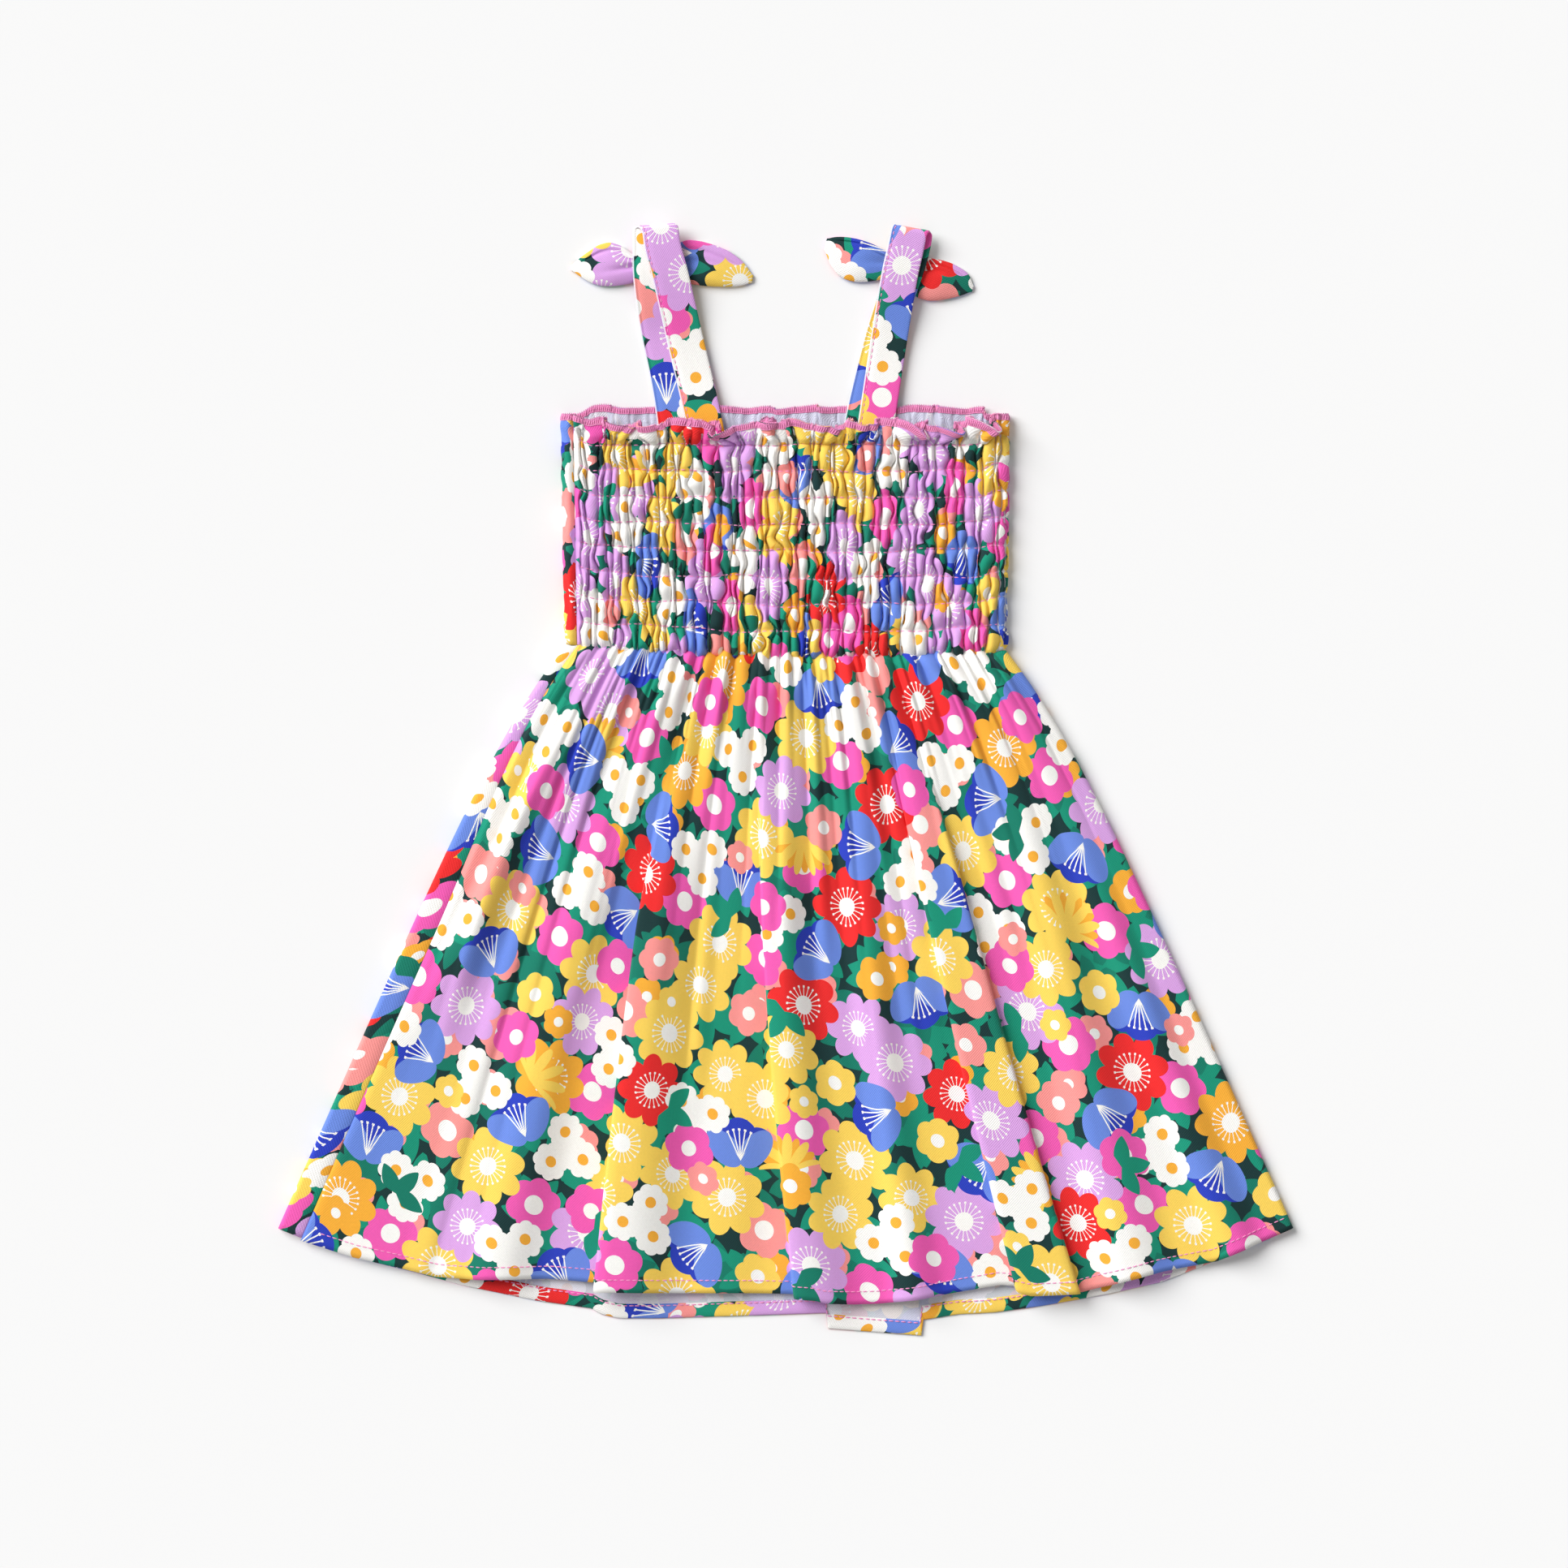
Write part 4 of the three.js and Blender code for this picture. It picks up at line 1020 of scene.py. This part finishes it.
def clear_of_straps(x):
    ends = [legs["back"][1][0] for legs in STRAPS.values()]
    return np.min([smooth(11, 17, np.abs(x - end)) for end in ends], axis=0)


BODICE_TURNS = 8


def bodice_net(side, downs, columns, waves):
    net, ways, acrosses = [], [], []
    for down in downs:
        share = min(max(down / BANDS, 0), 1)
        half = mix(CHEST_HALF, WAIST_HALF, share)
        span = top_span if side == "front" else under_span
        start, end = span(half, BODICE_TURN, BODICE_SEAM_IN)
        places = mix(start, end, np.linspace(0, 1, columns))
        if side == "front":
            along = front_way(places, BODICE_TURN, BODICE_SEAM_IN, BODICE_TURNS)
        else:
            along = back_way(places, half, BODICE_TURN, BODICE_SEAM_IN, BODICE_TURNS)
        x, z = on_tube(along, half, BODICE_TURN)
        across = x / half
        risen = max(0.0, -down)
        y = mix(first_row_y(side, across), waist_y(across) + SEAM_GAP / 2, share) + risen * FRILL
        wander = 0.5 * np.sin(x * 0.085 + 1.9 * down) + 0.35 * np.sin(x * 0.21 - 1.3 * down)
        y = y + wander * float(smooth(0, 0.6, min(down + 0.4, BANDS - down)))
        y = y + seam_wobble(across * WAIST_HALF) * float(smooth(BANDS - 0.8, BANDS, down))
        moves = np.arange(len(along)) < columns
        from_edge = np.where(moves, 1 - smooth(0.9, 0.95, np.abs(across)), 0)
        if risen > 0:
            if side == "back":
                from_edge = from_edge * mix(0.25, 1, clear_of_straps(x))
            aside, up, forward = frill_shape(side, x, risen, *waves, from_edge)
            x, y, z = x + aside, y + up, z + forward
        net.append(np.stack([x, y, z + WALL / 2], axis=1))
        ways.append(along - along[0])
        acrosses.append(across)
    return np.array(net), np.array(ways), np.array(acrosses)


def band_envelope(down):
    """1 in the middle of a band, and low where a row of elastic pinches the cloth."""
    if down < 0:
        opening, closing = smooth(0, 0.35, -down), smooth(0.35, 1, -down)
        return 0.42 + 0.5 * float(opening) * (1 - 0.75 * float(closing))
    inside = down - math.floor(down)
    return 0.13 + 0.87 * abs(math.sin(math.pi * inside)) ** 0.55


BAND_ROWS = 12
FRILL_ROWS = 20
FRONT_COLUMNS = 540
BACK_COLUMNS = 330
BAND_DEPTH = 12.3  # mm of cloth from one row of elastic to the next
STRETCH = 1.06  # how much wider the print is drawn than the puckers' tops alone would show
PUCKER_DEPTH = 3.6
OVERLOCK_FROM = 0.76  # share of the frill's height at which its thread begins


def bodice_downs(band_rows, frill_rows):
    frill = -np.linspace(1, 0, frill_rows, endpoint=False)
    bands = np.arange(BANDS * band_rows + 1) / band_rows
    return np.concatenate([frill, bands])


def bodice_cuts(acrosses, swallowed, downs, shift):
    """Cut coordinates; cloth that is hidden in the valleys is passed over."""
    across = STRETCH * acrosses * CHEST_HALF + swallowed
    down = np.where(downs < 0, downs * FRILL, downs * BAND_DEPTH)
    down = np.broadcast_to(-down[:, None], across.shape)
    return np.stack([across + shift[0], down + shift[1]], axis=-1)


def puckers(seed, ways, downs):
    """For every point of a panel its relief from 0 to 1, the cloth hidden on the way to it and
    how far it lies in a valley; also each row's envelope."""
    field = pucker_field(seed)
    rows = []
    for way, down in zip(ways, downs):
        level = np.clip(2 * (down + 1), 0, 2 * BANDS + 1.999)
        rows.append(pucker_row(field, level, 2 * way / way[-1] - 1))
    shape, swallowed, valley = (np.array(part) for part in zip(*rows))
    envelope = np.array([band_envelope(down) for down in downs])[:, None]
    return shape, swallowed, valley, envelope


def bodice_piece(name, node, outer, inner, cuts, downs, stride):
    """A panel's shell, with the thread's colour along the frill's overlocked edge."""
    bound = downs[:-1, None] < -OVERLOCK_FROM
    build = Build()
    cloth_shell(build, outer, cuts, CLOTH, np.where(bound, THREAD_FACE, PRINT_FACE),
                np.where(bound, THREAD_FACE, WRONG_FACE), inner, stride)
    return build.piece(name, CLOTH_MATERIALS, [node])


def build_bodice_front():
    downs = bodice_downs(BAND_ROWS, FRILL_ROWS)
    waves = frill_pleats(21, CHEST_HALF, 22, (2.2, 5.4), FLOPS)
    columns = FRONT_COLUMNS
    net, ways, acrosses = bodice_net("front", downs, columns, waves)
    shape, swallowed, valley, envelope = puckers(3, ways, downs)
    relief = PUCKER_DEPTH * envelope * shape - 1.5 * valley * (downs > -0.5)[:, None]
    relief -= (0.9 * np.exp(-(((BANDS - downs) / 0.16) ** 2)))[:, None]
    on_top = 1 - smooth(columns - 14, columns + 3, np.arange(net.shape[1]))
    relief = relief * smooth(0, 2.5, ways) * mix(0.5, 1, on_top) - 1.0 * (1 - on_top)
    seam_dip = 0.3 * np.exp(-((ways / 1.3) ** 2))
    outer = above_floor(net + normals_of(net) * (WALL / 2 + relief - seam_dip)[:, :, None])
    cuts = bodice_cuts(acrosses, swallowed, downs, (600, 539))
    frill = (downs < 0)[:, None, None]
    follows = outer - normals_of(outer) * CLOTH
    inner = np.where(frill, follows, net + normals_of(net) * (WALL / 2 - CLOTH))
    piece = bodice_piece("bodice_front_panel", "bodice_front", outer, inner, cuts, downs, 2)
    return piece, outer, inner, downs


def build_bodice_back():
    downs = bodice_downs(6, 14)
    waves = frill_pleats(33, CHEST_HALF, 19, (1.2, 3.6))
    columns = BACK_COLUMNS
    net, ways, acrosses = bodice_net("back", downs, columns, waves)
    shape, swallowed, _, envelope = puckers(9, ways, downs)
    from_turn = np.arange(net.shape[1]) - columns
    round_side = smooth(-2, 3, from_turn) * np.where(np.abs(from_turn - 2) < 3.2, 0.7, 1.0)
    relief = envelope * mix(-1.25 * (1 - shape), 2.2 * shape - 1.1, round_side)
    outer = above_floor(net + normals_of(net) * (WALL / 2 + relief)[:, :, None])
    outer = with_tuck(outer)
    inner = outer - normals_of(outer) * CLOTH
    one_more = ((0, 0), (0, 1))
    acrosses, swallowed = (np.pad(each, one_more, mode="edge") for each in (acrosses, swallowed))
    cuts = bodice_cuts(acrosses, swallowed, downs, (1062, 69))
    piece = bodice_piece("bodice_back_panel", "bodice_back", outer, inner, cuts, downs, 1)
    return piece, outer, inner, downs


def build_overlock(name, outer, inner, downs, pitch=1.05, depth=2.7):
    """Threads wound over the frill's cut edge, as one zigzag that goes over it and back."""
    edge = 0.5 * (outer[0] + inner[0])
    length = arc_along(edge[None])[0]
    rows = depth / FRILL * np.sum(downs < 0)
    at = np.arange(0, length[-1], pitch)
    columns = np.arange(len(length))
    outer_normal, inner_normal = normals_of(outer), -normals_of(inner)
    points = []
    for row, lean, face in (
        (rows, 0.0, "out"), (0.45 * rows, 0.25, "out"), (0.0, 0.5, "edge"),
        (0.45 * rows, 0.62, "in"), (rows, 0.75, "in"),
    ):
        column = np.interp(at + lean * pitch, length, columns)
        row = np.full(len(at), float(row))
        if face == "out":
            place = on_net(outer, row, column) + 0.16 * on_net(outer_normal, row, column)
        elif face == "in":
            place = on_net(inner, row, column) + 0.16 * on_net(inner_normal, row, column)
        else:
            place = on_net(edge[None].repeat(2, axis=0), row, column) + np.array([0, 0.35, 0])
        points.append(place)
    path = above_floor(np.stack(points, axis=1).reshape(-1, 3), 0.3)
    build = Build()
    build.add_tube(path, 0.27, 4)
    for face, normal in ((outer, outer_normal), (inner, inner_normal)):
        column = np.interp(at, length, columns)
        row = np.full(len(at), rows)
        line = above_floor(on_net(face, row, column) + 0.2 * on_net(normal, row, column), 0.25)
        build.add_tube(line, 0.2, 4)
    return build.piece(name, (THREAD,))


def add_dashes(build, line, normal, pitch, length, radius, lift, draw):
    """Stitches along a line on the cloth, each a short rounded length of thread."""
    run = arc_along(line[None])[0]
    start = pitch / 2
    while start + length < run[-1]:
        own = length * draw.uniform(0.85, 1.1)
        where = start + own * np.array([0, 0.2, 0.5, 0.8, 1.0])
        points = np.stack([np.interp(where, run, line[:, k]) for k in range(3)], axis=1)
        out = np.stack([np.interp(where, run, normal[:, k]) for k in range(3)], axis=1)
        raised = lift * np.array([-0.6, 0.7, 1.0, 0.7, -0.6])
        rounded = radius * np.array([0.5, 0.9, 1, 0.9, 0.5])
        build.add_tube(points + out * raised[:, None], rounded, 5)
        start += pitch * draw.uniform(0.93, 1.07)


def build_row_stitches(outer, downs):
    """The rows of elastic, seen as stitches that show on the puckers' backs."""
    draw = np.random.default_rng(4)
    build = Build()
    normal = normals_of(outer)
    for band in range(BANDS):
        i = int(np.argmin(np.abs(downs - band)))
        at = np.arange(3.0, FRONT_COLUMNS)
        wander = 0.5 * np.sin(at * 0.03 + band)
        rows = i + wander
        line = on_net(outer, rows, at)
        add_dashes(build, line, on_net(normal, rows, at), 3.6, 2.3, 0.3, 0.22, draw)
    return build.piece("row_stitches", (THREAD,))


def hem_rows(net, distance):
    """The fractional row at a distance above the hem, for each column."""
    step = np.linalg.norm(np.diff(net, axis=0), axis=2)
    up = np.cumsum(step[::-1], axis=0)
    rows = len(net) - 1 - np.array([
        np.interp(distance, np.concatenate([[0], up[:, j]]), np.arange(len(net)))
        for j in range(net.shape[1])
    ])
    return rows


def build_hem_stitches(name, net, columns, outward):
    draw = np.random.default_rng(len(name))
    normal = normals_of(net) * outward
    rows = hem_rows(net, HEM_DEPTH)[columns]
    at = columns.astype(float)
    build = Build()
    add_dashes(build, on_net(net, rows, at), on_net(normal, rows, at), 2.9, 2.1, 0.3, 0.14, draw)
    return build.piece(name, (THREAD,))


def build_turned_hem(name, net, columns, cut_shift):
    """The hem's turned-up edge, which lies on the inside of a panel and shows the print."""
    normal = -normals_of(net)
    at = columns.astype(float)
    rows = []
    profile = ((0.0, 0.05), (0.6, 0.55), (2.5, 0.62), (4.6, 0.62), (6.4, 0.6), (6.9, 0.3))
    for distance, lift in profile:
        row = hem_rows(net, distance)[columns]
        rows.append((on_net(net, row, at) + lift * on_net(normal, row, at))[::-1])
    strip = np.array(rows[::-1])
    across = arc_along(strip)
    depth = np.array([0, 0.5, 2.3, 4.4, 6.3, 7.0])[:, None] + np.zeros_like(across)
    cuts = np.stack([across + cut_shift[0], depth + cut_shift[1]], axis=-1)
    build = Build()
    cloth_shell(build, strip, cuts, 0.3, PRINT_FACE, WRONG_FACE, stride=1)
    return build.piece(name, CLOTH_MATERIALS)


# Straps

def spline(points, count):
    """A smooth line through points, with evenly spaced stations along it."""
    points = np.asarray(points, float)
    step = np.maximum(np.linalg.norm(np.diff(points, axis=0), axis=1), 1e-6) ** 0.5
    knots = np.concatenate([[0], np.cumsum(step)])
    tangents = np.empty_like(points)
    slope = np.diff(points, axis=0) / step[:, None]
    tangents[1:-1] = (slope[:-1] * step[1:, None] + slope[1:] * step[:-1, None]) / (
        step[:-1] + step[1:])[:, None]
    tangents[0], tangents[-1] = slope[0], slope[-1]
    where = np.linspace(0, knots[-1], count * 4)
    k = np.clip(np.searchsorted(knots, where, side="right") - 1, 0, len(step) - 1)
    t = ((where - knots[k]) / step[k])[:, None]
    width = step[k][:, None]
    fine = ((2 * t**3 - 3 * t**2 + 1) * points[k] + (t**3 - 2 * t**2 + t) * width * tangents[k]
            + (-2 * t**3 + 3 * t**2) * points[k + 1] + (t**3 - t**2) * width * tangents[k + 1])
    run = arc_along(fine[None])[0]
    even = np.linspace(0, run[-1], count)
    return np.stack([np.interp(even, run, fine[:, axis]) for axis in range(fine.shape[1])], axis=1)


def across_leg(leg):
    way = np.gradient(leg[:, :2], axis=0)
    across = np.stack([way[:, 1], -way[:, 0], np.zeros(len(leg))], axis=1)
    return across / np.linalg.norm(across, axis=1, keepdims=True)


def strap_path(legs):
    """The middle line with its half circle at the top, and the direction across it."""
    back, front = np.array(legs["back"]), np.array(legs["front"])
    across_back, across_front = across_leg(back), across_leg(front)
    radius = (front[-1, 2] - back[-1, 2]) / 2
    share = np.arange(1, 6)[:, None] / 6
    angle = share[:, 0] * math.pi
    fold = mix(back[-1], front[-1], share)
    fold[:, 1] += radius * np.sin(angle)
    fold[:, 2] = back[-1, 2] + radius * (1 - np.cos(angle))
    across_fold = mix(across_back[-1], across_front[-1], share)
    points = np.concatenate([back, fold, front[::-1]])
    across = np.concatenate([across_back, across_fold, across_front[::-1]])
    return spline(np.concatenate([points, across * 10], axis=1), 230)


# A strap's section: places across it as shares of its half width, and its thickness there.
# The dip lies under the stitching.
STRAP_SECTION = (
    (-1, 0), (-0.985, 0.62), (-0.93, 0.95), (-0.86, 0.86), (-0.81, 0.5), (-0.76, 0.86), (-0.5, 1.0),
    (-0.2, 0.96), (0.2, 0.96), (0.5, 1.0), (0.8, 1.0), (0.93, 0.93), (0.985, 0.62), (1, 0),
)
STITCH_COLUMN = 4


def build_strap(name, legs, shift):
    stations = strap_path(legs)
    centre, side = stations[:, :3], stations[:, 3:] / 10
    way = np.gradient(centre, axis=0)
    out = np.cross(way, side)
    out /= np.linalg.norm(out, axis=1, keepdims=True)
    width, thick = np.array(STRAP_SECTION).T
    half = STRAP_THICK / 2

    def face(sign):
        return centre[:, None] + side[:, None] * (width * STRAP_WIDTH / 2)[None, :, None] + (
            out[:, None] * (sign * half * np.maximum(thick, 0.12))[None, :, None])

    run = arc_along(centre[None])[0]
    across = width[None] * STRAP_WIDTH / 2 + shift[0]
    cuts = np.stack(np.broadcast_arrays(across, run[:, None] + shift[1]), axis=-1)
    build = Build()
    outer = face(1)
    under = face(-1)
    face_of = np.where(width[None, 1:] < -0.92, WRONG_FACE, PRINT_FACE)
    outer_numbers = build.add_grid(outer, cuts, True, face_of)
    inner_numbers = build.add_grid(under, cuts + np.array([0, 400]), False, face_of)
    build.close(outer_numbers, inner_numbers, WRONG_FACE)
    piece = build.piece(name + "_band", CLOTH_MATERIALS, [name])
    return piece, outer, out


def build_strap_stitches(name, outer, out):
    draw = np.random.default_rng(12)
    build = Build()
    add_dashes(build, outer[:, STITCH_COLUMN], out, 2.9, 2.0, 0.26, 0.16, draw)
    row = int(np.argmin(np.abs(outer[:len(outer) // 3, 0, 1] - CROSS_STITCH_Y)))
    across = outer[row, 2:-2]
    upward = out[row][None].repeat(len(across), axis=0)
    add_dashes(build, across, upward, 2.4, 1.7, 0.26, 0.16, draw)
    build.piece(name + "_topstitch", (THREAD,))


# Bows

def ear_outline(sections, along):
    """An ear's reach above and below its line and its height, softened along the ear."""
    kernel = np.ones(5) / 5
    for column in (1, 2, 3):
        values = np.interp(along, sections[:, 0], sections[:, column])
        yield np.convolve(np.pad(values, 2, mode="edge"), kernel, "valid")


def ear_relief(out, side, draw):
    """Creases that leave the knot, a groove under a rolled rim and a full belly."""
    crease = np.zeros((len(out), side.shape[1]))
    for lean, depth in zip(draw.uniform(-0.55, 0.45, 3), (1.9, 1.5, 1.2)):
        off = (side - lean * (0.25 + 1.3 * out)) / (0.1 + 0.1 * out)
        crease -= depth * np.exp(-(off**2)) * np.exp(-((out / 0.42) ** 2))
    groove = 1.1 * np.exp(-(((side - 0.5 - 0.12 * np.sin(4 * out)) / 0.09) ** 2))
    crease -= groove * smooth(0.05, 0.25, out) * (1 - smooth(0.72, 0.95, out))
    across_belly = np.cos(math.pi / 2 * np.clip(side + 0.2, -1, 1))
    belly = 1.6 * np.exp(-(((out - 0.5) / 0.26) ** 2)) * across_belly
    return crease + belly


def add_ear(build, knot, ear, cut_corner, draw):
    """One ear of folded cloth, from the knot to its tip."""
    way = np.array([*ear["tip"], 0.0]) - knot
    length = np.linalg.norm(way)
    along_way = way / length
    across = np.array([-along_way[1], along_way[0], 0])
    if across[1] < 0:
        across = -across
    sections = np.array(ear["sections"])
    along = np.linspace(sections[0, 0], 1, 52)
    above, below, height = ear_outline(sections, along)
    place = np.linspace(-1, 1, 44)
    rounded = np.sign(place) * np.abs(place) ** 0.85
    aside = np.where(rounded > 0, rounded * above[:, None], rounded * below[:, None])
    body = (1 - np.abs(place) ** 4.5) ** 0.5
    relief = ear_relief(along[:, None], place[None], draw)
    top = height[:, None] * (0.55 + 0.42 * body[None]) + relief * body[None]
    top = np.where(np.abs(place)[None] > 0.999, height[:, None] * 0.5, top)
    bottom = height[:, None] * 0.5 * (1 - np.minimum(1, 2.2 * body))
    run = (along * length)[:, None]
    base = knot + along_way * run[:, :, None] + across * aside[:, :, None]
    upward = np.array([0, 0, 1.0])
    upper = base + upward * np.maximum(top, bottom + 0.25)[:, :, None]
    lower = base + upward * bottom[:, :, None]
    cuts = np.stack([1.05 * aside, np.broadcast_to(run, aside.shape)], axis=-1) + cut_corner
    clockwise = np.cross(along_way, across)[2] < 0
    upper_numbers = build.add_grid(upper, cuts, not clockwise, PRINT_FACE)
    lower_numbers = build.add_grid(lower, cuts + 90, clockwise, PRINT_FACE)
    if clockwise:
        upper_numbers, lower_numbers = upper_numbers[::-1], lower_numbers[::-1]
    build.close(upper_numbers, lower_numbers, PRINT_FACE)


def build_bow(name, bow, shift):
    """Two ears of folded cloth that run out from a knot."""
    build = Build()
    knot = np.array([*bow["knot"], 0.0])
    draw = np.random.default_rng(len(name))
    for number, ear in enumerate(bow["ears"]):
        add_ear(build, knot, ear, np.array([shift[0] + 60 * number, shift[1]]), draw)
    add_knot(build, knot, shift)
    return build.piece(name + "_cloth", CLOTH_MATERIALS, [name])


def add_knot(build, knot, shift):
    """The knot: a squashed ball of cloth with creases that run round it."""
    rings, sides = 15, 28
    rise = np.linspace(0.02, math.pi - 0.02, rings)[:, None]
    turn = (TAU * np.arange(sides + 1) / sides)[None]
    crease = 1 + 0.05 * np.sin(3 * turn + 4 * np.cos(rise))
    x = KNOT["half_length"] * np.sin(rise) * np.cos(turn) * crease
    y = KNOT["half_width"] * np.sin(rise) * np.sin(turn) * crease
    z = KNOT["half_height"] * (1 + np.cos(rise) * np.ones_like(turn))
    net = np.stack([x + knot[0], y + knot[1], z], axis=-1)
    net[:, -1] = net[:, 0]
    cuts = np.stack([x + shift[0], y + shift[1]], axis=-1)
    start = build.add_points(net[:, :-1], cuts[:, :-1])
    faces = []
    for i in range(rings - 1):
        for j in range(sides):
            a, b = start + i * sides + j, start + i * sides + (j + 1) % sides
            faces.append((a, a + sides, b + sides, b))
    faces.append(tuple(start + j for j in range(sides)))
    last = start + (rings - 1) * sides
    faces.append(tuple(last + j for j in reversed(range(sides))))
    build.add_faces(faces, PRINT_FACE)


# Put together

skirt_front, skirt_front_outer = build_skirt_front()
skirt_back, skirt_back_inner = build_skirt_back()
bodice_front, front_outer, front_inner, front_downs = build_bodice_front()
bodice_back, back_outer, back_inner, back_downs = build_bodice_back()
build_overlock("overlock_front", front_outer, front_inner, front_downs)
build_overlock("overlock_back", back_outer, back_inner, back_downs)
build_row_stitches(front_outer, front_downs)

front_top = np.arange(4, skirt_front_outer.shape[1] - SKIRT_TURNS - 2)
build_hem_stitches("hem_stitches_front", skirt_front_outer[1:], front_top, 1)
back_flat = np.arange(2, skirt_back_inner.shape[1] - SKIRT_TURNS - 3)
build_turned_hem("turned_hem_back", skirt_back_inner, back_flat, (1695, 87))
on_turned_hem = skirt_back_inner - normals_of(skirt_back_inner) * 0.65
build_hem_stitches("hem_stitches_back", on_turned_hem, back_flat, -1)

STRAP_CUTS = {"strap_left": (1078, 140), "strap_right": (2322, 173)}
straps = {}
for name, legs in STRAPS.items():
    straps[name], outer, out = build_strap(name, legs, STRAP_CUTS[name])
    build_strap_stitches(name, outer, out)

BOW_CUTS = {"bow_left": (2373, 62), "bow_right": (2565, 167)}
bows = {name: build_bow(name, bow, BOW_CUTS[name]) for name, bow in BOWS.items()}


# Floor, light and view

def add_floor():
    size = 9.0
    mesh = bpy.data.meshes.new("floor")
    corners = [(-size, -size, 0), (size, -size, 0), (size, size, 0), (-size, size, 0)]
    mesh.from_pydata(corners, [], [(0, 1, 2, 3)])
    material, g, shader = new_material("pale_floor")
    noise = g.node("ShaderNodeTexNoise")
    noise.inputs["Scale"].default_value = 3
    tint = g.math("MULTIPLY_ADD", noise.outputs["Fac"], 0.008, 0.896)
    combine = g.node("ShaderNodeCombineColor")
    for socket in combine.inputs:
        g.plug(socket, tint)
    g.plug(shader.inputs["Base Color"], combine.outputs[0])
    shader.inputs["Roughness"].default_value = 0.9
    shader.inputs["Specular IOR Level"].default_value = 0.1
    mesh.materials.append(material)
    floor = bpy.data.objects.new("floor", mesh)
    floor.location.z = -0.0001
    bpy.context.scene.collection.objects.link(floor)


def add_light(name, place, softness, power):
    """Soft light from far away, from the direction of a place; softness is its width in degrees."""
    data = bpy.data.lights.new(name, "SUN")
    data.angle = math.radians(softness)
    data.energy = power
    light = bpy.data.objects.new(name, data)
    light.location = place
    x, y, z = place
    light.rotation_euler = (math.atan2(math.hypot(x, y), z), 0, math.atan2(x, -y))
    bpy.context.scene.collection.objects.link(light)


def add_world():
    world = bpy.data.worlds.new("world")
    world.use_nodes = True
    background = world.node_tree.nodes["Background"]
    background.inputs["Color"].default_value = (1.0, 0.995, 0.99, 1)
    background.inputs["Strength"].default_value = 0.36
    bpy.context.scene.world = world
    bpy.context.scene.view_settings.view_transform = "Standard"
    bpy.context.scene.view_settings.look = "None"


add_floor()
add_light("key", (-1.45, 1.0, 1.3), 42, 3.71)
add_world()
